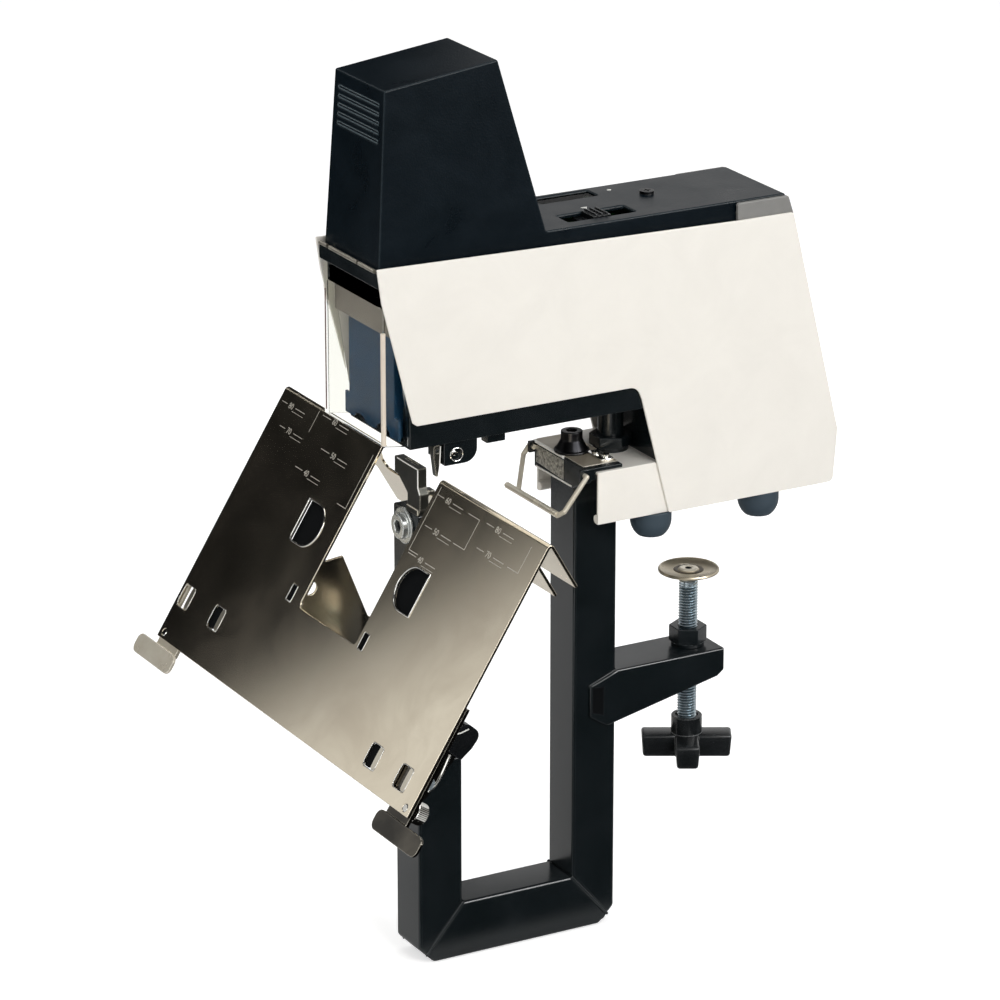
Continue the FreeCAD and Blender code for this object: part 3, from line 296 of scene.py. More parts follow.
# %% Dark screens that only shiny surfaces see
def dark_screen(name, centre, normal, up, width, height, soft):
    """A felt screen that fades in over the first part of its width, from 0 at its clear edge."""
    normal = Vector(normal).normalized()
    up = Vector(up)
    up = (up - normal * up.dot(normal)).normalized()
    screen = primitive(name, "plane", size=1)
    turned = Matrix((up.cross(normal), up, normal)).transposed().to_4x4()
    screen.matrix_world = Matrix.Translation(centre) @ turned @ Matrix.Diagonal((width, height, 1, 1))
    for ray in ("camera", "diffuse", "shadow", "transmission"):
        setattr(screen, "visible_" + ray, False)
    felt = bpy.data.materials.new(name + "_felt")
    felt.use_nodes = True
    nodes = felt.node_tree.nodes
    nodes.clear()
    out = nodes.new("ShaderNodeOutputMaterial")
    clear = nodes.new("ShaderNodeBsdfTransparent")
    dark = nodes.new("ShaderNodeEmission")
    dark.inputs["Color"].default_value = (0.004, 0.004, 0.004, 1)
    pick = nodes.new("ShaderNodeMixShader")
    where = nodes.new("ShaderNodeTexCoord")
    split = nodes.new("ShaderNodeSeparateXYZ")
    ramp = map_range(nodes, from_min=-0.5, from_max=-0.5 + soft / width)
    ramp.interpolation_type = "SMOOTHSTEP"
    link(where, "Object", split, 0)
    link(split, "X", ramp, "Value")
    link(ramp, 0, pick, 0)
    link(clear, 0, pick, 1)
    link(dark, 0, pick, 2)
    link(pick, 0, out, "Surface")
    screen.data.materials.append(felt)


LEAN = math.tan(math.radians(8))
dark_screen("screen_left", (-0.5284, -0.0750, 0.270), (0.853, 0.522, -0.05), (0.522 * LEAN, -0.853 * LEAN, 1),
            0.9, 0.66, 0.093)
dark_screen("screen_floor_right", (0.90, 0.50, FLOOR_Z + 0.0006), (0, 0, 1), (0, 1, 0), 1.76, 1.6, 0.02)
dark_screen("screen_floor_left", (-0.873 * 0.87, -0.488 * 0.87, FLOOR_Z + 0.0006), (0, 0, 1),
            (0.488, -0.873, 0),
            0.46, 2.2, 0.08)
print("stage is set")


# %% [markdown]
# ## Effects that several finishes share
# Fine grain, slow cloudy change and a lighter colour at edges, partly wear and partly a painted highlight, are
# made once, as node groups with named inputs. Each gives out only a height, a mask or a value, and every material
# places it with its own numbers.

# %% Group helpers
def new_group(name, inputs, outputs):
    group = bpy.data.node_groups.new(name, "ShaderNodeTree")
    for label, kind, value in inputs:
        socket = group.interface.new_socket(label, in_out="INPUT", socket_type=kind)
        if value is not None:
            socket.default_value = value
    for label, kind in outputs:
        group.interface.new_socket(label, in_out="OUTPUT", socket_type=kind)
    inside = group.nodes.new("NodeGroupInput")
    outside = group.nodes.new("NodeGroupOutput")
    return group, inside, outside


FLOAT = "NodeSocketFloat"
VECTOR = "NodeSocketVector"


# %% Fine grain, as on moulded plastic and powder coat
grain, start, end = new_group("fine_grain", [("Vector", VECTOR, None), ("Scale", FLOAT, 2000.0)],
                              [("Height", FLOAT)])
pits = grain.nodes.new("ShaderNodeTexNoise")
pits.inputs["Detail"].default_value = 2
cells = grain.nodes.new("ShaderNodeTexVoronoi")
blend = maths(grain.nodes, "MULTIPLY")
link(start, "Vector", pits, "Vector")
link(start, "Scale", pits, "Scale")
link(start, "Vector", cells, "Vector")
link(start, "Scale", cells, "Scale")
link(pits, 0, blend, 0)
link(cells, "Distance", blend, 1)
link(blend, 0, end, "Height")

# %% Slow clouds, as left by handling and polishing; on the cap's label they paint a mottled reflection
clouds, start, end = new_group("slow_clouds", [("Vector", VECTOR, None), ("Scale", FLOAT, 30.0)],
                               [("Value", FLOAT)])
soft = clouds.nodes.new("ShaderNodeTexNoise")
soft.inputs["Detail"].default_value = 4
soft.inputs["Roughness"].default_value = 0.6
soft.inputs["Distortion"].default_value = 0.6
level = map_range(clouds.nodes, from_min=0.3, from_max=0.7)
link(start, "Vector", soft, "Vector")
link(start, "Scale", soft, "Scale")
link(soft, 0, level, "Value")
link(level, 0, end, "Value")

# %% Edges: wear and painted highlight
edges, start, end = new_group("edge_wear_and_highlight", [("Radius", FLOAT, 0.0008), ("Amount", FLOAT, 3.0)],
                              [("Mask", FLOAT)])
rounded = edges.nodes.new("ShaderNodeBevel")
rounded.samples = 4
flat = edges.nodes.new("ShaderNodeNewGeometry")
compare = edges.nodes.new("ShaderNodeVectorMath")
compare.operation = "DOT_PRODUCT"
turn = maths(edges.nodes, "SUBTRACT")
turn.inputs[0].default_value = 1
gain = maths(edges.nodes, "MULTIPLY")
gain.use_clamp = True
link(start, "Radius", rounded, "Radius")
link(rounded, 0, compare, 0)
link(flat, "True Normal", compare, 1)
link(compare, "Value", turn, 1)
link(turn, 0, gain, 0)
link(start, "Amount", gain, 1)
link(gain, 0, end, "Mask")
print("groups:", [group.name for group in bpy.data.node_groups])


# %% [markdown]
# ## Finishes
# One recipe serves most of the machine: a base colour that clouds a little into a second colour, a
# third colour at the edges, which is partly wear and partly a painted highlight, a roughness that varies between
# two values, and a fine relief. Paint, plastic, rubber and plated metal then differ only in their numbers.

# %% The recipe
def place_group(tree, group, **values):
    node = tree.nodes.new("ShaderNodeGroup")
    node.node_tree = group
    for label, value in values.items():
        node.inputs[label].default_value = value
    return node


def make_finish(name, base, second, edge, rough, relief, grain_size, metallic=0.0, specular=0.5,
                cloud_size=0.03, edge_radius=0.0006, edge_gain=3.0, stretch=(1, 1, 1)):
    finish = bpy.data.materials.new(name)
    finish.use_nodes = True
    tree = finish.node_tree
    shader = tree.nodes["Principled BSDF"]
    shader.inputs["Metallic"].default_value = metallic
    shader.inputs["Specular IOR Level"].default_value = specular
    place = tree.nodes.new("ShaderNodeTexCoord")
    stretched = tree.nodes.new("ShaderNodeMapping")
    stretched.inputs["Scale"].default_value = stretch
    link(place, "Object", stretched, "Vector")
    cloud = place_group(tree, clouds, Scale=1 / cloud_size)
    link(stretched, 0, cloud, "Vector")
    wear_and_highlight = place_group(tree, edges, Radius=edge_radius, Amount=edge_gain)
    body_colour = tree.nodes.new("ShaderNodeMix")
    body_colour.data_type = "RGBA"
    body_colour.inputs["A"].default_value = paint_card(*base)
    body_colour.inputs["B"].default_value = paint_card(*second)
    link(cloud, "Value", body_colour, "Factor")
    # The edge colour is mixed in by the edge mask: partly wear, partly a painted highlight along the edges.
    full_colour = tree.nodes.new("ShaderNodeMix")
    full_colour.data_type = "RGBA"
    full_colour.inputs["B"].default_value = paint_card(*edge)
    link(wear_and_highlight, "Mask", full_colour, "Factor")
    link(body_colour, "Result", full_colour, "A")
    link(full_colour, "Result", shader, "Base Color")
    dull = map_range(tree.nodes, to_min=rough[0], to_max=rough[1])
    link(cloud, "Value", dull, "Value")
    link(dull, 0, shader, "Roughness")
    fine = place_group(tree, grain, Scale=1 / grain_size)
    link(stretched, 0, fine, "Vector")
    bump = tree.nodes.new("ShaderNodeBump")
    bump.inputs["Strength"].default_value = 1.0
    bump.inputs["Distance"].default_value = relief
    link(fine, "Height", bump, "Height")
    link(bump, 0, shader, "Normal")
    return finish


# %% Paints and plastics
# On black_coat and knob_plastic, the light third colour at the edges is a painted highlight.
black_coat = make_finish("black_coat", (15, 21, 23), (20, 26, 29), (84, 88, 90), (0.16, 0.26), 0.00002,
                         0.0022, specular=0.5, edge_gain=1.6)
cream_paint = make_finish("cream_paint", (238, 234, 226), (233, 229, 221), (247, 244, 238), (0.34, 0.42),
                          0.00001, 0.0009, specular=0.4)
hood_plastic = make_finish("hood_plastic", (4, 13, 19), (8, 19, 26), (96, 110, 116), (0.26, 0.34), 0.00006,
                           0.0009, specular=0.14, edge_radius=0.0007, edge_gain=2.0)
clip_plastic = make_finish("clip_plastic", (128, 127, 124), (116, 115, 112), (160, 160, 156), (0.45, 0.55),
                           0.00005, 0.0007)
foot_rubber = make_finish("foot_rubber", (58, 72, 82), (48, 60, 70), (84, 98, 106), (0.55, 0.7), 0.00004,
                          0.0008, specular=0.3)
gloss_plastic = make_finish("gloss_plastic", (14, 16, 18), (20, 22, 24), (60, 62, 64), (0.2, 0.3), 0.00002,
                            0.0010, specular=0.4)
matt_black = make_finish("matt_black", (6, 8, 10), (12, 14, 16), (40, 42, 44), (0.7, 0.85), 0.00001,
                         0.0009, specular=0.05)
knob_plastic = make_finish("knob_plastic", (18, 21, 22), (26, 29, 31), (150, 152, 152), (0.18, 0.28),
                           0.00002, 0.0010, specular=0.5, edge_radius=0.0007, edge_gain=2.4)
# This near white paint colours thin wires that stand as painted highlights along edges.
painted_edge_highlight = make_finish("painted_edge_highlight", (250, 248, 242), (240, 237, 228), (252, 251, 248),
                            (0.25, 0.35), 0.000004, 0.0007)
# The dark and light clouds of this plate are a painted reflection of a plated face.
painted_reflection_mottle = make_finish("painted_reflection_mottle", (22, 24, 24), (216, 212, 200), (220, 216, 204), (0.25, 0.5),
                            0.00006, 0.0011, metallic=0.5, cloud_size=0.0016)
face_paint = make_finish("face_paint", (8, 34, 54), (14, 44, 68), (90, 110, 130), (0.3, 0.4), 0.000002,
                         0.0010, specular=0.12)

# %% Metals
nickel_sheet = make_finish("nickel_sheet", (238, 228, 206), (222, 210, 188), (245, 240, 230), (0.13, 0.2),
                           0.0000015, 0.0006, metallic=1.0, cloud_size=0.05, edge_radius=0.0004,
                           edge_gain=2.0)
bright_chrome = make_finish("bright_chrome", (222, 221, 216), (200, 198, 190), (250, 250, 248),
                            (0.06, 0.14), 0.000004, 0.0012, metallic=1.0)
zinc_plate = make_finish("zinc_plate", (212, 226, 232), (186, 200, 208), (240, 244, 246), (0.2, 0.3),
                         0.000004, 0.0008, metallic=0.75)
satin_nickel = make_finish("satin_nickel", (226, 219, 202), (205, 198, 182), (248, 245, 236), (0.26, 0.36),
                           0.000003, 0.0007, metallic=1.0)
bail_nickel = make_finish("bail_nickel", (236, 229, 212), (206, 197, 178), (250, 247, 240), (0.2, 0.3),
                          0.000003, 0.0007, metallic=0.45)
# The anvil's near white edge colour is a painted highlight along its ground edges, and the feeler's too.
anvil_steel = make_finish("anvil_steel", (62, 62, 56), (46, 46, 42), (232, 226, 208), (0.3, 0.42), 0.00001,
                          0.0008, metallic=0.7, edge_radius=0.0007, edge_gain=4.5)
cap_steel = make_finish("cap_steel", (186, 176, 158), (146, 134, 116), (242, 238, 226), (0.3, 0.42),
                        0.00001, 0.0009, metallic=0.4, edge_radius=0.0006, edge_gain=3.0)
pad_nickel = make_finish("pad_nickel", (196, 184, 160), (156, 146, 124), (244, 238, 224), (0.26, 0.4),
                         0.000004, 0.0007, metallic=0.9)
groove_painted_shade = make_finish("groove_painted_shade", (52, 43, 30), (104, 92, 68), (180, 168, 140), (0.3, 0.45), 0.000004,
                         0.0007, metallic=0.3)
thread_root_shade = make_finish("thread_root_shade", (58, 74, 80), (40, 52, 58), (130, 146, 152), (0.34, 0.46),
                          0.000004, 0.0008, metallic=0.3)
bolt_steel = make_finish("bolt_steel", (228, 230, 226), (200, 203, 200), (246, 246, 242), (0.14, 0.24),
                         0.000006, 0.0008, metallic=0.8)
bare_steel = make_finish("bare_steel", (160, 156, 148), (128, 124, 116), (205, 202, 195), (0.3, 0.42),
                         0.00001, 0.0007, metallic=1.0, stretch=(1, 1, 0.1))
gunmetal = make_finish("gunmetal", (92, 88, 80), (60, 58, 54), (215, 210, 196), (0.16, 0.26), 0.000006,
                       0.0008, metallic=1.0, edge_radius=0.0007, edge_gain=4.0)
dark_steel = make_finish("dark_steel", (44, 44, 46), (30, 30, 32), (130, 130, 130), (0.25, 0.4), 0.00001,
                         0.0006, metallic=1.0)
copper_wire = make_finish("copper_wire", (170, 96, 52), (140, 74, 40), (210, 140, 90), (0.3, 0.4), 0.0001,
                          0.0008, metallic=1.0, stretch=(0.05, 0.05, 1))
board_green = make_finish("board_green", (40, 96, 44), (30, 78, 36), (90, 140, 80), (0.3, 0.4), 0.00002,
                          0.0012)
print("finishes:", len([m for m in bpy.data.materials]))


# %% [markdown]
# ## Clear plastic
# The guard and the deck window are clear mouldings. Light passes through them, they take a little
# grey from their thickness, and fine scratches make the shine uneven.

# %% Clear guard and tinted window
def make_clear(name, tint, rough):
    finish = bpy.data.materials.new(name)
    finish.use_nodes = True
    tree = finish.node_tree
    shader = tree.nodes["Principled BSDF"]
    shader.inputs["Base Color"].default_value = tint
    shader.inputs["Transmission Weight"].default_value = 1.0
    shader.inputs["IOR"].default_value = 1.06
    place = tree.nodes.new("ShaderNodeTexCoord")
    cloud = place_group(tree, clouds, Scale=60)
    link(place, "Object", cloud, "Vector")
    dull = map_range(tree.nodes, to_min=rough, to_max=rough * 3)
    link(cloud, "Value", dull, "Value")
    link(dull, 0, shader, "Roughness")
    path = tree.nodes.new("ShaderNodeLightPath")
    let_light_by = tree.nodes.new("ShaderNodeBsdfTransparent")
    let_light_by.inputs["Color"].default_value = tint
    pick = tree.nodes.new("ShaderNodeMixShader")
    link(path, "Is Shadow Ray", pick, 0)
    link(shader, 0, pick, 1)
    link(let_light_by, 0, pick, 2)
    link(pick, 0, tree.nodes["Material Output"], "Surface")
    return finish


clear_guard = make_clear("clear_guard", paint_card(246, 246, 242), 0.01)
smoked_window = make_clear("smoked_window", paint_card(150, 170, 150), 0.04)

# %% Every node gets its finish
finish_of_slot = {"frame_black": black_coat, "cast_white": cream_paint, "hood_black": hood_plastic,
                  "clip_grey": clip_plastic, "rubber_grey": foot_rubber, "nickel": nickel_sheet,
                  "chrome_bright": bright_chrome, "zinc": zinc_plate, "steel_grey": bare_steel,
                  "steel_dark": dark_steel, "plastic_black": gloss_plastic, "face_blue": face_paint,
                  "guard_clear": clear_guard, "copper": copper_wire, "board_green": board_green}
head_paint = make_finish("head_paint", (104, 98, 90), (88, 83, 76), (170, 165, 155), (0.42, 0.55), 0.00001,
                         0.0008, metallic=0.5)
finish_of_node = {"board_window": smoked_window, "stop_left": bail_nickel, "stop_right": gunmetal,
                  "head_plate": head_paint, "latch_bail": bail_nickel, "anvil": anvil_steel,
                  "column_cap": black_coat, "trigger_feeler": anvil_steel,
                  "anvil_screw": bolt_steel}
for node, piece in frame["nodes"].items():
    finish = finish_of_node.get(node, finish_of_slot[slot_of_node[node]])
    finish_of_node[node] = finish
    piece.data.materials.clear()
    piece.data.materials.append(finish)
print("dressed", len(finish_of_node), "nodes")


# %% [markdown]
# ## Rounded edges
# A real edge is never knife sharp: a pressed sheet, a moulding and a coated tube all turn over a
# small radius, and that radius carries the highlight that draws the shape. A copy of each solid is
# merged, its flat faces are joined again, and its edges are bevelled by the radius that its maker
# would leave. The copy then stands for the node.

# %% The rounding helper
def rounded_copy(node, radius):
    piece = copy_of(frame["nodes"][node], node + "_body")
    edit_all(piece, (bpy.ops.mesh.remove_doubles, {"threshold": 0.000005}))
    edit_all(piece, (bpy.ops.mesh.dissolve_limited, {"angle_limit": math.radians(1.0)}))
    bevel = piece.modifiers.new("edge", "BEVEL")
    bevel.width = radius / 1000
    bevel.segments = 2
    bevel.limit_method = "ANGLE"
    bevel.angle_limit = math.radians(28)
    bevel.use_clamp_overlap = False
    bevel.miter_outer = "MITER_ARC"
    apply_all(piece)
    smooth(piece, 40)
    weighted = piece.modifiers.new("flat_faces", "WEIGHTED_NORMAL")
    weighted.keep_sharp = True
    apply_all(piece)
    wear_finish(piece, finish_of_node[node], body_of_node[node])
    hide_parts(node)
    return piece


# %% Which node gets which radius
EDGE_RADIUS = {
    "column_tube": 1.6, "lower_beam": 1.6, "front_leg": 1.6, "anvil_post": 1.2, "clamp_arm": 1.0,
    "base_tray": 0.35, "rear_cover": 0.35, "side_panel_left": 0.45, "side_panel_right": 0.45,
    "top_hood": 0.9, "deck_clips": 0.5, "guard_header": 0.5, "head_plate": 0.4, "magazine_face": 0.4,
    "chassis_rail": 0.5, "trigger_bracket": 0.4, "trigger_feeler": 0.3, "column_cap": 0.4, "anvil": 0.5,
    "saddle": 0.3, "stop_left": 0.3, "stop_right": 0.3, "clamp_nut": 0.4,
    "tie_nut": 0.5, "slider_knob": 0.3, "power_inlet": 0.5, "power_switch": 0.6,
    "foot_switch_socket": 0.4, "front_guard": 0.35, "cap_screw": 0.5, "anvil_screw": 0.6,
}
for node, radius in EDGE_RADIUS.items():
    rounded_copy(node, radius)
print("rounded", len(EDGE_RADIUS), "pieces")

# %% The rest keeps its solid, shaded smooth
for node, piece in frame["nodes"].items():
    if node not in EDGE_RADIUS:
        smooth(piece, 35)

# %% [markdown]
# ## The clamp's thread
# The clamp screw is a zinc plated rod of 10 mm with a 1.5 mm pitch. One tooth of the thread is a
# small triangle, and the Screw modifier winds it up the rod. Between the turns, a core painted darker gives
# the painted shade of the thread's roots.

# %% Threaded spindle
def wire(name, places, radius):
    """A round wire along a smooth line near the places, which are in millimetres, made a mesh."""
    path = bpy.data.curves.new(name, "CURVE")
    path.dimensions = "3D"
    path.bevel_depth = radius / 1000
    path.bevel_resolution = 3
    path.use_fill_caps = True
    spline = path.splines.new("NURBS")
    spline.points.add(len(places) - 1)
    for point, place in zip(spline.points, places):
        point.co = (*mm(*place), 1)
    spline.order_u = 3
    spline.use_endpoint_u = True
    line = bpy.data.objects.new(name, path)
    bpy.context.scene.collection.objects.link(line)
    only(line)
    bpy.ops.object.convert(target="MESH")
    line = bpy.context.object
    smooth(line, 50)
    return line


def cylinder(name, place, radius, depth, vertices=48):
    return primitive(name, "cylinder", vertices=vertices, radius=radius, depth=depth, location=place)


def one_piece(name, pieces):
    only(pieces[0])
    for piece in pieces[1:]:
        piece.select_set(True)
    bpy.ops.object.join()
    return fresh(name)


def turned_steps(piece, steps, up=1):
    """Insets the end face that looks up or down, once for each (inset, rise) in millimetres."""
    only(piece)
    bpy.ops.object.mode_set(mode="EDIT")
    bpy.ops.mesh.select_all(action="DESELECT")
    bpy.ops.object.mode_set(mode="OBJECT")
    for face in piece.data.polygons:
        face.select = face.normal.z * up > 0.9
    bpy.ops.object.mode_set(mode="EDIT")
    for inset, rise in steps:
        bpy.ops.mesh.inset(thickness=inset / 1000, depth=rise / 1000)
    bpy.ops.object.mode_set(mode="OBJECT")


low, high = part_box("clamp_spindle")
axis_y = (low.y + high.y) / 2
thread_radius = (high.x - low.x) / 2
PITCH = 0.0015
TOOTH_DEPTH, TOOTH_HALF = 0.0012, 0.00043
FIRST_TURN = 0.0008
thread = primitive("spindle_thread", "circle", vertices=3, radius=0.001)
tooth_corners = ((thread_radius, low.z), (thread_radius - TOOTH_DEPTH, low.z + TOOTH_HALF),
                 (thread_radius - TOOTH_DEPTH, low.z - TOOTH_HALF))
for vertex, (reach, height) in zip(thread.data.vertices, tooth_corners):
    vertex.co = (reach, 0, height + FIRST_TURN)
winding = thread.modifiers.new("winding", "SCREW")
winding.screw_offset = PITCH
winding.iterations = int((high.z - low.z - 0.0045) / PITCH)
winding.steps = winding.render_steps = 24
apply_all(thread)
edit_all(thread, (bpy.ops.mesh.fill_holes, {"sides": 0}))
thread.location = (0, axis_y, 0)
core_length = high.z - low.z - 0.006
NECK_LENGTH = 0.008
# The core's dark colour is painted shade in the thread's roots.
core = cylinder("spindle_core", (0, axis_y, low.z + core_length / 2), thread_radius - 0.00085, core_length)
turned_steps(core, [(0.5, 0.4)], up=-1)
end_piece(core, thread_root_shade, "screw", 30)
neck = cylinder("spindle_neck", (0, axis_y, high.z - NECK_LENGTH / 2), thread_radius - 0.0008,
                NECK_LENGTH)
spindle = one_piece("threaded_spindle", [neck, thread])
end_piece(spindle, zinc_plate, "screw", 20, turn_out=True)
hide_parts("clamp_spindle")
print("thread turns:", int((high.z - low.z) / PITCH), "faces:", len(spindle.data.polygons))

# %% [markdown]
# ## The swivel pad
# The pad is a turned nickel disc with a rolled rim, a shallow dish, a groove painted dark as shade, and
# the peened end of the rivet in its middle, with painted shade in its dimple. A cylinder's top face is
# inset and sunk step by step, as on a lathe.

# %% Swivel pad
low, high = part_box("clamp_pad")
pad_radius = (high.x - low.x) / 2
GROOVE_RADIUS, GROOVE_HALF_WIDTH = 0.0064, 0.0015
RIVET_RADIUS, EYE_RADIUS = 0.0050, 0.0017
disc = cylinder("pad_disc", (0, axis_y, high.z - 0.0012), pad_radius, 0.0008, 64)
turned_steps(disc, [(0.4, 0.5), (0.5, 0.1), (0.5, -0.4), (6.4, -0.6), (0.5, -0.7), (1.5, 0.0),
                    (0.2, 0.7), (0.6, 0.3), (0.9, 0.1), (0.25, -0.6)])
turned_steps(disc, [(1.4, 0.5), (5.8, 1.0)], up=-1)
boss = cylinder("pad_boss", (0, axis_y, (low.z + high.z - 0.003) / 2), 0.0072, high.z - 0.003 - low.z, 40)
turned_steps(boss, [(0.4, 0.3)], up=-1)
pad = one_piece("swivel_pad", [disc, boss])
end_piece(pad, pad_nickel, "pad", 40)
# The groove's dark colour is painted shade.
groove = primitive("pad_groove", "torus", major_radius=GROOVE_RADIUS, minor_radius=GROOVE_HALF_WIDTH,
                   major_segments=56, minor_segments=12, location=(0, axis_y, high.z - 0.00142))
groove.scale = (1, 1, 0.3)
end_piece(groove, groove_painted_shade, "pad", 40)
rivet = cylinder("pad_rivet", (0, axis_y, high.z - 0.0010), RIVET_RADIUS, 0.0008, 40)
turned_steps(rivet, [(0.7, 0.3), (1.1, 0.15), (1.0, -0.1), (0.3, -0.3)])
end_piece(rivet, bail_nickel, "pad", 40)
# The matt black disc in the rivet's dimple is painted shade.
rivet_eye = cylinder("rivet_eye", (0, axis_y, high.z - 0.0006), EYE_RADIUS, 0.0004, 24)
turned_steps(rivet_eye, [(0.4, -0.1)])
end_piece(rivet_eye, matt_black, "pad", 40)
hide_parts("clamp_pad")
print("pad faces:", len(pad.data.polygons))

# %% [markdown]
# ## The star knob
# The knob is moulded with four lobes, which are a little wider at the top so that they leave the
# mould. A cube's corners are moved to the lobe's corners, its edges are rounded, and it is copied
# three times round the hub.

# %% Star knob
knob_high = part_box("clamp_knob")[1]
LOBE_HEIGHT, LOBE_WIDTH, LOBE_DRAFT = 0.0125, 0.0128, 0.0009
LOBE_ANGLE = 60.8
knob_reach = 0.0234
lobe_top = knob_high.z - 0.0095
lobe = primitive("lobe", "cube", size=1)
for vertex in lobe.data.vertices:
    draft = LOBE_DRAFT if vertex.co.z < 0 else 0
    height = LOBE_HEIGHT if vertex.co.z < 0 else 0
    reach = 0.003 if vertex.co.x < 0 else knob_reach - draft
    vertex.co = (reach, math.copysign(LOBE_WIDTH / 2 - draft, vertex.co.y), lobe_top - height)
rounding = lobe.modifiers.new("edge", "BEVEL")
rounding.width = 0.0016
rounding.segments = 4
apply_all(lobe)
lobes = []
for i in range(4):
    copy = copy_of(lobe, "lobe")
    turned = Matrix.Rotation(math.radians(LOBE_ANGLE + 90 * i), 4, "Z")
    copy.matrix_world = Matrix.Translation((0, axis_y, 0)) @ turned
    lobes.append(copy)
bpy.data.objects.remove(lobe)
hub_low = lobe_top - LOBE_HEIGHT
hub = cylinder("hub", (0, axis_y, (hub_low + knob_high.z) / 2), 0.0080, knob_high.z - hub_low - 0.0008, 48)
turned_steps(hub, [(0.4, 0.4), (1.5, 0.0), (0.3, -1.6)])
turned_steps(hub, [(0.6, 0.4), (3.0, -0.3)], up=-1)
star_knob = one_piece("star_knob", [hub] + lobes)
end_piece(star_knob, knob_plastic, body_of_node["clamp_knob"], 40)
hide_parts("clamp_knob")
print("knob faces:", len(star_knob.data.polygons))

# %% [markdown]
# ## Weld beads
# The frame is cut at 45 degrees and welded, then coated, so each mitre shows a low row of
# overlapping scales. One flat scale is made and copied along the seam.

# %% Weld bead
def weld_bead(name, start, end, width, out):
    start, end, out = Vector(start), Vector(end), Vector(out)
    scale = primitive("scale", "uv_sphere", segments=10, ring_count=6, radius=width / 2)
    along = (end - start).normalized()
    scale.matrix_world = Matrix((along, out.cross(along), out)).transposed().to_4x4()
    scale.scale = (1.0, 1.0, 0.42)
    settle(scale)
    count = max(2, int((end - start).length / (width * 0.42)))
    scales = [scale]
    for i in range(1, count + 1):
        copy = copy_of(scale, "scale")
        copy.location = start + (end - start) * (i / count)
        scales.append(copy)
    scale.location = start
    bead = one_piece(name, scales)
    settle(bead)
    smooth(bead, 60)
    return wear_finish(bead, black_coat, "frame")


column_low, column_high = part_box("column_tube")
beam_low, beam_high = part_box("lower_beam")
leg_low, leg_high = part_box("front_leg")
post_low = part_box("anvil_post")[0]
half = column_high.x
corner = 0.0042
arm_low, arm_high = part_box("clamp_arm")
SEAM_TOP, SEAM_LOW = beam_high.z - 0.0004, beam_low.z + corner * 1.2
for side, label in ((-1, "left"), (1, "right")):
    out = (side, 0, 0)
    x = side * (half - 0.0001)
    weld_bead("weld_rear_" + label, (x, -corner, SEAM_LOW), (x, column_low.y, SEAM_TOP), 0.0016, out)
    weld_bead("weld_front_" + label, (x, leg_low.y + corner, SEAM_LOW), (x, leg_high.y, SEAM_TOP),
              0.0016, out)
    weld_bead("weld_post_" + label, (x, post_low.y + 0.0006, leg_high.z),
              (x, leg_high.y - 0.0006, leg_high.z), 0.0018, out)
for side, label in ((-1, "left"), (1, "right")):
    x = side * (half + 0.0002)
    weld_bead("weld_arm_top_" + label, (x, arm_low.y + 0.001, arm_high.z - 0.0068),
              (x, -0.001, arm_high.z - 0.0012), 0.0024, (side, 0, 0))
print("welds done")

# %% [markdown]
# ## Scale marks on the saddle
# Both halves of the sheet carry engraved lines and numbers, which help to set the stops. Numbers
# are made from text, turned into a mesh a few hundredths thick and laid on the sloping sheet.

# %% The sheet's own directions
stop_slide = [j for j in frame["joints"] if j["name"] == "left_stop_slide"][0]
slope_down = Vector(stop_slide["axis"]).normalized()
slope_out = Vector((0, slope_down.z, -slope_down.y))
SHEET_LENGTH = 0.1435
sheet_foot = min(frame["nodes"]["saddle"].data.vertices, key=lambda vertex: vertex.co.y).co
ridge = Vector((0, sheet_foot.y, sheet_foot.z)) - slope_down * SHEET_LENGTH
on_sheet = Matrix(((1, 0, 0, ridge.x), (0, -slope_down.y, slope_out.y, ridge.y),
                   (0, -slope_down.z, slope_out.z, ridge.z), (0, 0, 0, 1)))
print("ridge at", [round(c * 1000, 1) for c in ridge])


# %% Lines and numbers
etched = make_finish("etched_line", (205, 200, 188), (180, 175, 165), (225, 222, 215), (0.5, 0.6),
                     0.000002, 0.0006, metallic=0.6)
marks = []


def etch_line(x, s, length, across=True, width=0.35):
    line = primitive("line", "cube", size=0.001)
    line.scale = (length, width, 0.03) if across else (width, length, 0.03)
    settle(line)
    line.matrix_world = on_sheet @ Matrix.Translation(mm(x, -s, 0.02))
    marks.append(line)


def etch_number(x, s, words, size=4.6):
    bpy.ops.object.select_all(action="DESELECT")
    bpy.ops.object.text_add()
    number = fresh("number")
    number.data.body = words
    number.data.size = size / 1000
    number.data.extrude = 0.000015
    number.data.resolution_u = 3
    bpy.ops.object.convert(target="MESH")
    number = bpy.context.object
    number.matrix_world = on_sheet @ Matrix.Translation(mm(x, -s, 0.02))
    marks.append(number)


for x, s, words, tick in ((-126, 8, "80", 6), (-117, 19.5, "70", 6), (-82, 3.5, "60", 9),
                          (-69, 18.5, "50", 9),
                          (-84, 33, "40", 8), (41, 7.5, "60", 7), (44, 23.5, "50", 7), (90, 7, "80", 7),
                          (92, 19.5, "70", 7), (43, 39, "40", 8)):
    etch_line(x - tick / 2 - 1, s - 1.6, tick)
    etch_number(x + 1, s, words)
    etch_line(x + 13, s - 1.6, 10)
    etch_line(x + 12, s + 0.6, 12, width=0.25)
for x, top, low_end in ((-96.5, 1, 13), (-33.5, 6, 36), (33.5, 2, 36), (75.5, 6, 22), (124, 4, 18)):
    etch_line(x, (top + low_end) / 2, low_end - top, across=False)
for x, s, length in ((-38, 36, 9), (38, 36, 9), (70, 22, 11), (70, 6, 11), (119, 18, 10)):
    etch_line(x, s, length)
scale_marks = one_piece("saddle_scale_marks", marks)
end_piece(scale_marks, etched, "saddle")
print("marks:", len(marks))

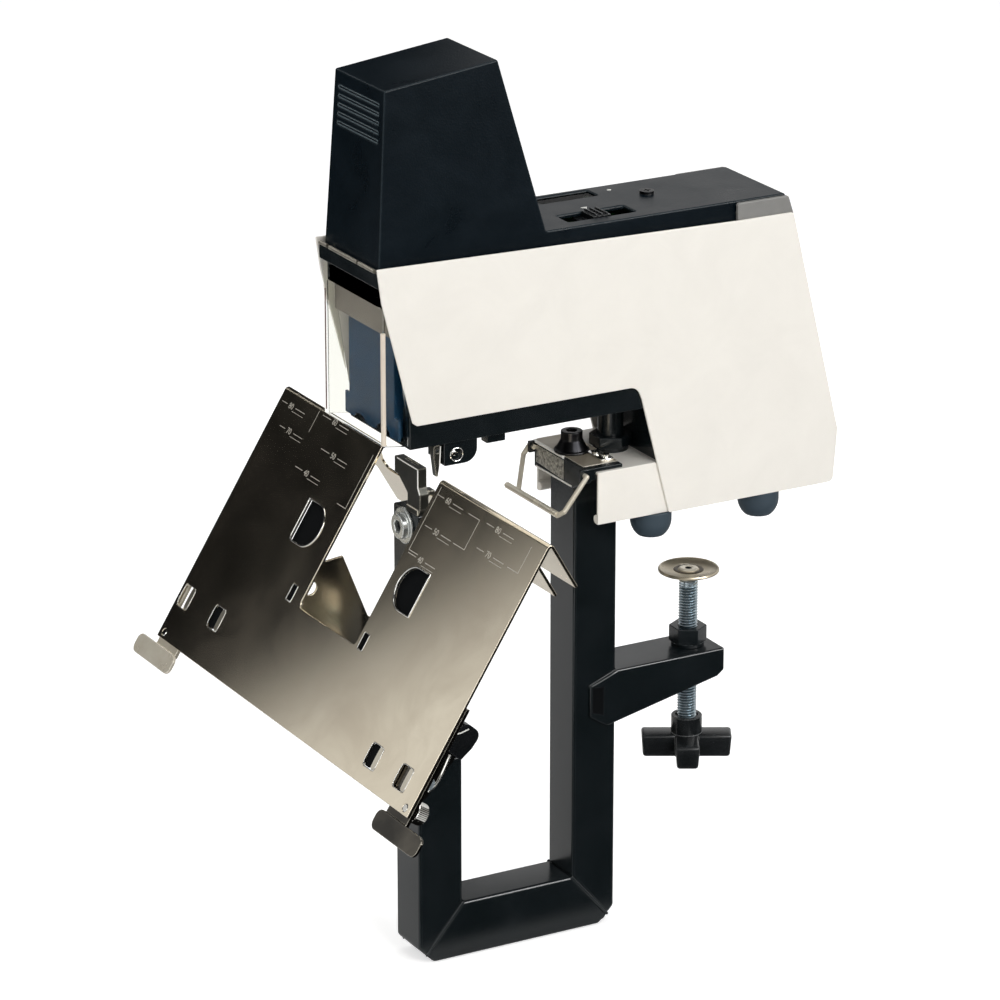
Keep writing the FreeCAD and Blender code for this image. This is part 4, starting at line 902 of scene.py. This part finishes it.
# %% [markdown]
# ## Rims and blanks of the openings
# The sheet's openings are punched, which leaves a thin bright rim, and black blanks close the two
# large ones from behind. Dark plugs in the left halves of two guide slots are painted shade. The points
# of a circle are moved onto the outline that is wanted. Made a curve, the ring becomes the rim; filled
# and thickened, it becomes the blank.

# %% Outlines
def outline_ring(name, shape, points=48):
    """A ring on the sheet's plane. shape() moves a point of the unit circle to (x, s) in millimetres."""
    ring = primitive(name, "circle", vertices=points, radius=1.0)
    for vertex in ring.data.vertices:
        x, s = shape(vertex.co.x, vertex.co.y)
        vertex.co = mm(x, -s, 0)
    return ring


def d_shape(flat_x, round_x, middle_s, half_height):
    centre_x = round_x + math.copysign(half_height, flat_x - round_x)

    def shape(u, v):
        if u < 0:
            stretch = 1 / max(abs(u), abs(v))
            return centre_x + (flat_x - centre_x) * -u * stretch, middle_s - v * stretch * half_height
        return centre_x + (round_x - centre_x) * u, middle_s - v * half_height
    return shape


def slot_shape(low_x, high_x, low_s, high_s, squareness=5):
    def shape(u, v):
        across = math.copysign(abs(u) ** (2 / squareness), u)
        along = math.copysign(abs(v) ** (2 / squareness), v)
        return (low_x + high_x + across * (high_x - low_x)) / 2, (low_s + high_s + along * (high_s - low_s)) / 2
    return shape


def rim(shape, radius, depth=0.0):
    ring = outline_ring("rim", shape)
    only(ring)
    bpy.ops.object.convert(target="CURVE")
    ring = bpy.context.object
    ring.data.bevel_depth = radius / 1000
    ring.data.bevel_resolution = 2
    bpy.ops.object.convert(target="MESH")
    ring = bpy.context.object
    ring.matrix_world = on_sheet @ Matrix.Translation(mm(0, 0, -depth))
    return ring


def blank(shape, top, bottom):
    plug = outline_ring("blank", shape)
    solid_ring(plug, 0.0003, bottom - top)
    plug.matrix_world = on_sheet @ Matrix.Translation(mm(0, 0, -(top + bottom) / 2))
    return plug


# %% Rims and blanks
windows = [d_shape(-66.5, -44.0, 52.5, 11.5), d_shape(60.0, 38.2, 52.5, 11.5)]
guide_slots = [(-127.7, 118.5), (-92.8, 118.5), (88.3, 129.0), (118.3, 129.0)]
rims = [rim(shape, 0.5) for shape in windows]
for x, s in guide_slots:
    rims.append(rim(slot_shape(x - 5.7, x + 5.7, s - 6.2, s + 6.2), 0.22))
for x in (-41.2, 35.4):
    rims.append(rim(slot_shape(x - 2.5, x + 2.5, 81.5, 90.5, 9), 0.2))
opening_rims = one_piece("opening_rims", rims)
end_piece(opening_rims, bright_chrome, "saddle", 50, turn_out=True)
blanks = [blank(shape, 1.7, 2.7) for shape in windows]
# The two plugs in the guide slots' left halves are painted shade; the others are black blanks.
for x, s in guide_slots[1:3]:
    blanks.append(blank(slot_shape(x - 5.4, x + 0.3, s - 5.9, s + 5.9), 1.0, 1.6))
for x in (-41.2, 35.4):
    blanks.append(blank(slot_shape(x - 2.3, x + 2.3, 81.7, 90.3, 9), 1.0, 1.6))
blanks_and_slot_shade = one_piece("opening_blanks_and_slot_shade", blanks)
end_piece(blanks_and_slot_shade, matt_black, "saddle", 30, turn_out=True)
lips = [blank(slot_shape(x + 0.4, x + 5.5, s - 5.9, s + 5.9), 0.9, 1.5) for x, s in guide_slots]
bright_lips = one_piece("guide_slot_lips", lips)
end_piece(bright_lips, satin_nickel, "saddle", 30, turn_out=True)
print("openings:", len(rims), "rims", len(blanks) + len(lips), "blanks")

# %% [markdown]
# ## Knurled nuts of the stops
# A knurled nut is turned with a straight knurl, so that fingers can hold it. Every second edge of
# a many sided cylinder is pulled in a little, and the ends are turned down in two steps.

# %% Knurled nuts
def knurled(name, radius, depth, ribs=36):
    nut = cylinder(name, (0, 0, 0), radius, depth, ribs * 2)
    turned_steps(nut, [(0.3, 0.25), (1.4, 0.0), (0.2, 0.9), (0.3, 0.15)])
    turned_steps(nut, [(0.3, 0.25)], up=-1)
    for vertex in nut.data.vertices:
        spoke = vertex.co.to_2d()
        step = round(math.atan2(spoke.y, spoke.x) / math.pi * ribs)
        if spoke.length > radius * 0.99 and step % 2:
            vertex.co.x *= 0.94
            vertex.co.y *= 0.94
    return nut


nuts_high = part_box("stop_nuts")[1]
STOP_S = 140.0
pieces = []
for side in (-1, 1):
    nut = knurled("nut", 0.0055, 0.0055)
    x = side * (nuts_high.x * 1000 - 5.5)
    nut.matrix_world = on_sheet @ Matrix.Translation(mm(x, -STOP_S, -7.6)) @ Matrix.Rotation(math.pi, 4, "X")
    pieces.append(nut)
    stud = cylinder("stud", (0, 0, 0), 0.002, 0.0057, 24)
    turned_steps(stud, [(0.4, 0.3)])
    stud.matrix_world = on_sheet @ Matrix.Translation(mm(x, -STOP_S, -3.1))
    pieces.append(stud)
nuts = one_piece("knurled_nuts", pieces)
end_piece(nuts, bright_chrome, "saddle", 20, turn_out=True)
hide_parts("stop_nuts")
print("nut faces:", len(nuts.data.polygons))

# %% [markdown]
# ## Small parts on the cap and on the deck
# The cap holds a small slide plate under two pan head screws. The deck has a pointer beside the
# slider's slot and a dot beside the window. They are small, but they are what the hand aims for.

# %% Slide plate with two screws
def bevelled_box(name, low, high, radius):
    low, high = Vector(low), Vector(high)
    box = primitive(name, "cube", size=1, location=(low + high) / 2)
    box.scale = high - low
    settle(box)
    bevel = box.modifiers.new("edge", "BEVEL")
    bevel.width = radius
    bevel.segments = 3
    apply_all(box)
    smooth(box, 40)
    return box


cap_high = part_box("column_cap")[1]
plate = bevelled_box("plate", (0.0065, -0.0150, cap_high.z), (0.0220, -0.0078, cap_high.z + 0.0012), 0.0003)
heads = [plate]
for x, y in ((0.0120, -0.0125), (0.0178, -0.0105)):
    head = cylinder("head", (x, y, cap_high.z + 0.0017), 0.0021, 0.0011, 24)
    turned_steps(head, [(0.3, 0.35), (0.6, 0.25), (0.5, 0.05)])
    heads.append(head)
slide_plate = one_piece("cap_slide_plate", heads)
end_piece(slide_plate, bright_chrome, "frame", 40)
print("slide plate at", [round(c, 4) for c in cap_high])

# %% Pointer and dot on the deck
white_mark = make_finish("white_mark", (226, 226, 220), (214, 214, 208), (235, 235, 230), (0.4, 0.5),
                         0.000002, 0.0006)
DECK_Z = 0.1685
pointer = primitive("pointer", "cylinder", vertices=3, radius=0.0022, depth=0.00012,
                    location=(0.002, -0.014, DECK_Z + 0.00006), rotation=(0, 0, math.radians(-90)))
dot = cylinder("dot", (-0.0195, 0.0125, DECK_Z + 0.00006), 0.0011, 0.00012, 20)
deck_marks = one_piece("deck_marks", [pointer, dot])
end_piece(deck_marks, white_mark, "frame")

# %% Hinge rods above the guard's header
header_low, header_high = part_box("guard_header")
rods = []
for start_x, end_x in ((-29.0, -21.5), (-19.0, 10.2), (11.8, 27.2)):
    rod = wire("rod", [(start_x, header_low.y * 1000 - 0.2, header_high.z * 1000 + 0.9),
                       (end_x, header_low.y * 1000 - 0.2, header_high.z * 1000 + 0.9)], 1.05)
    rods.append(rod)
hinge_rods = one_piece("header_hinge_rods", rods)
end_piece(hinge_rods, satin_nickel, "frame")

# %% [markdown]
# ## The guard's bead and the lever's bright lines
# The clear guard is bent from sheet, and its cut right corner scatters light, so it shows as a
# cream bead. The lever is a dark strap with a polished edge, and its grip has a white line.

# %% Bead on the guard
frosted = make_finish("frosted_edge", (226, 214, 198), (210, 197, 180), (238, 230, 218), (0.4, 0.5),
                      0.00001, 0.0008, specular=0.4)
guard_low, guard_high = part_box("front_guard")
bead_x, bead_y = guard_high.x * 1000 - 0.9, guard_low.y * 1000 + 0.7
bead = wire("guard_bead", [(bead_x, bead_y, 74.5), (bead_x, bead_y, 100), (bead_x, bead_y, 131)], 1.25)
end_piece(bead, frosted, body_of_node["front_guard"])
pink_edge = make_finish("pink_edge", (92, 60, 60), (76, 50, 52), (130, 96, 92), (0.3, 0.4), 0.00001,
                        0.0008, specular=0.4)
left_edge = wire("guard_left_edge", [(-bead_x, bead_y, 76), (-bead_x, bead_y, 100), (-bead_x, bead_y, 138)],
                 0.4)
end_piece(left_edge, pink_edge, body_of_node["front_guard"])

# %% Lines on the lever
grip_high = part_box("lever_grip")[1]
side_x = grip_high.x * 1000 + 0.05
lines = [wire("line", [(side_x, -101.6, -86.4), (side_x, -97.0, -87.0), (side_x, -94.0, -86.6),
                       (side_x, -90.6, -85.6)], 0.4)]
grip_lines = one_piece("grip_lines", lines)
end_piece(grip_lines, white_mark, body_of_node["table_lever"])
strap_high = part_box("table_lever")[1]
strap_x = strap_high.x * 1000 + 0.1
strap_edge = wire("strap_edge", [(strap_x, -98.9, -99.2), (strap_x, -102.0, -105.3),
                                 (strap_x, -104.3, -109.7),
                                 (strap_x, -107.9, -114.7), (strap_x, -112.0, -116.4)], 0.75)
end_piece(strap_edge, bright_chrome, body_of_node["table_lever"])
print("bead and lines done")

# %% [markdown]
# ## Plates and bright lines around the head
# The column's cap carries a black front plate with a bare label, whose dark and light mottle is a painted
# reflection, and two white wires on its edges that are painted highlights. The anvil and the feeler are
# ground steel, and white wires along their front edges are painted highlights. A flat plate starts as a ring
# with one point for each corner, which is filled and given a thickness.

# %% Flat plates
def flat_plate(name, corners, thickness):
    plate = primitive(name, "circle", vertices=len(corners), radius=1.0)
    for vertex, corner_place in zip(plate.data.vertices, corners):
        vertex.co = mm(*corner_place)
    solid_ring(plate, 0.0002, thickness)
    outwards(plate)
    smooth(plate, 30)
    return plate


FLANGE_Y, PLATE_THICKNESS = -27.0, 0.25
front_corners = ((-22.3, 41.3), (26.8, 41.3), (26.8, 34.9), (14.3, 28.9), (-22.3, 28.9))
front_plate = flat_plate("cap_front_plate", [(x, FLANGE_Y - 0.15, z) for x, z in front_corners],
                         PLATE_THICKNESS)
wear_finish(front_plate, black_coat, body_of_node["column_cap"])
top_plate = flat_plate("cap_top_plate", [(-24.3, -26.8, 42.6), (24.3, -26.8, 42.6), (24.3, -7.2, 42.6),
                                         (-24.3, -7.2, 42.6)], PLATE_THICKNESS)
wear_finish(top_plate, cap_steel, body_of_node["column_cap"])
# The label's dark and light mottle is a painted reflection.
reflection_corners = ((-22.0, 40.4), (5.5, 40.4), (5.5, 30.2), (-22.0, 31.6))
label = flat_plate("cap_painted_reflection", [(x, FLANGE_Y - 0.3, z) for x, z in reflection_corners], PLATE_THICKNESS)
wear_finish(label, painted_reflection_mottle, body_of_node["column_cap"])
# Two white wires along the cap's plate edges are painted highlights.
cap_highlight_wires = [wire("edge", [(-24.2, FLANGE_Y - 0.2, 42.0), (5.6, FLANGE_Y - 0.2, 42.0)], 0.8),
             wire("edge", [(-22.0, FLANGE_Y - 0.4, 29.2), (13.6, FLANGE_Y - 0.4, 29.2)], 0.45)]
cap_highlights = one_piece("cap_painted_highlights", cap_highlight_wires)
wear_finish(cap_highlights, painted_edge_highlight, body_of_node["column_cap"])

# %% Sleeve on the latch bail
bail_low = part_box("latch_bail")[0]
BAIL_WIRE = 1.25
bar_y, bar_z = bail_low.y * 1000 + BAIL_WIRE, bail_low.z * 1000 + BAIL_WIRE
sleeve = wire("bail_sleeve", [(-23.5, bar_y, bar_z), (0, bar_y, bar_z), (27.2, bar_y, bar_z)], 1.7)
wear_finish(sleeve, bail_nickel, body_of_node["latch_bail"])

# %% Painted highlights on the edges of anvil and feeler
ANVIL_FRONT = -113.35
anvil_highlight_wires = [wire("edge", [(-9.0, ANVIL_FRONT, 52.1), (5.0, ANVIL_FRONT, 51.8),
                             (11.6, ANVIL_FRONT, 52.1)], 0.28),
               wire("edge", [(12.15, ANVIL_FRONT, 51.9), (12.15, ANVIL_FRONT, 42.5)], 0.3),
               wire("edge", [(12.15, ANVIL_FRONT, 42.5), (14.15, ANVIL_FRONT, 39.4)], 0.3)]
anvil_highlights = one_piece("anvil_painted_highlights", anvil_highlight_wires)
wear_finish(anvil_highlights, painted_edge_highlight, body_of_node["anvil"])
feeler_highlight = wire("feeler_painted_highlight", [(28.05, -109.3, 68.4), (28.05, -109.8, 58.8)], 0.3)
wear_finish(feeler_highlight, painted_edge_highlight, body_of_node["trigger_feeler"])
# A matt black plug in the screw's hex socket is painted shade.
screw_low, screw_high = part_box("anvil_screw")
socket_place = (0, screw_low.y + 0.0024, (screw_low.z + screw_high.z) / 2)
socket_shade = cylinder("socket_shade", socket_place, 0.0031, 0.0006, 6)
turned_steps(socket_shade, [(0.4, -0.2)])
socket_shade.rotation_euler = (math.radians(90), 0, 0)
end_piece(socket_shade, matt_black, body_of_node["anvil_screw"])

# %% Eye of the trigger bracket
bracket_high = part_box("trigger_bracket")[1]
EYE_Y, EYE_Z = -0.1007, 0.0629
eye_ring = primitive("eye_ring", "torus", major_radius=0.0034, minor_radius=0.00032, major_segments=40,
                     minor_segments=8, location=(bracket_high.x, EYE_Y, EYE_Z),
                     rotation=(0, math.radians(90), 0))
settle(eye_ring)
eye_pin = cylinder("eye_pin", (0, 0, 0), 0.0013, 0.0024, 24)
turned_steps(eye_pin, [(0.3, 0.2)])
eye_pin.matrix_world = Matrix.Translation((bracket_high.x - 0.0012, EYE_Y - 0.0014, EYE_Z + 0.0010)) @ \
    Matrix.Rotation(math.radians(90), 4, "Y")
eye = one_piece("bracket_eye", [eye_ring, eye_pin])
end_piece(eye, bright_chrome, body_of_node["trigger_bracket"], 40)

# %% Painted shade at the open end of the clamp arm
arm_side = arm_high.x * 1000
# A thin matt black plate on the arm's side face is painted shade for its dark open end.
arm_end_shade = flat_plate("arm_end_painted_shade", [(arm_side + 0.02, y, z) for y, z in
                                       ((-15.0, -80.6), (-8.2, -81.6), (-8.2, -97.2), (-15.0, -94.8))], 0.16)
wear_finish(arm_end_shade, matt_black, body_of_node["clamp_arm"])
print("plates and lines done")
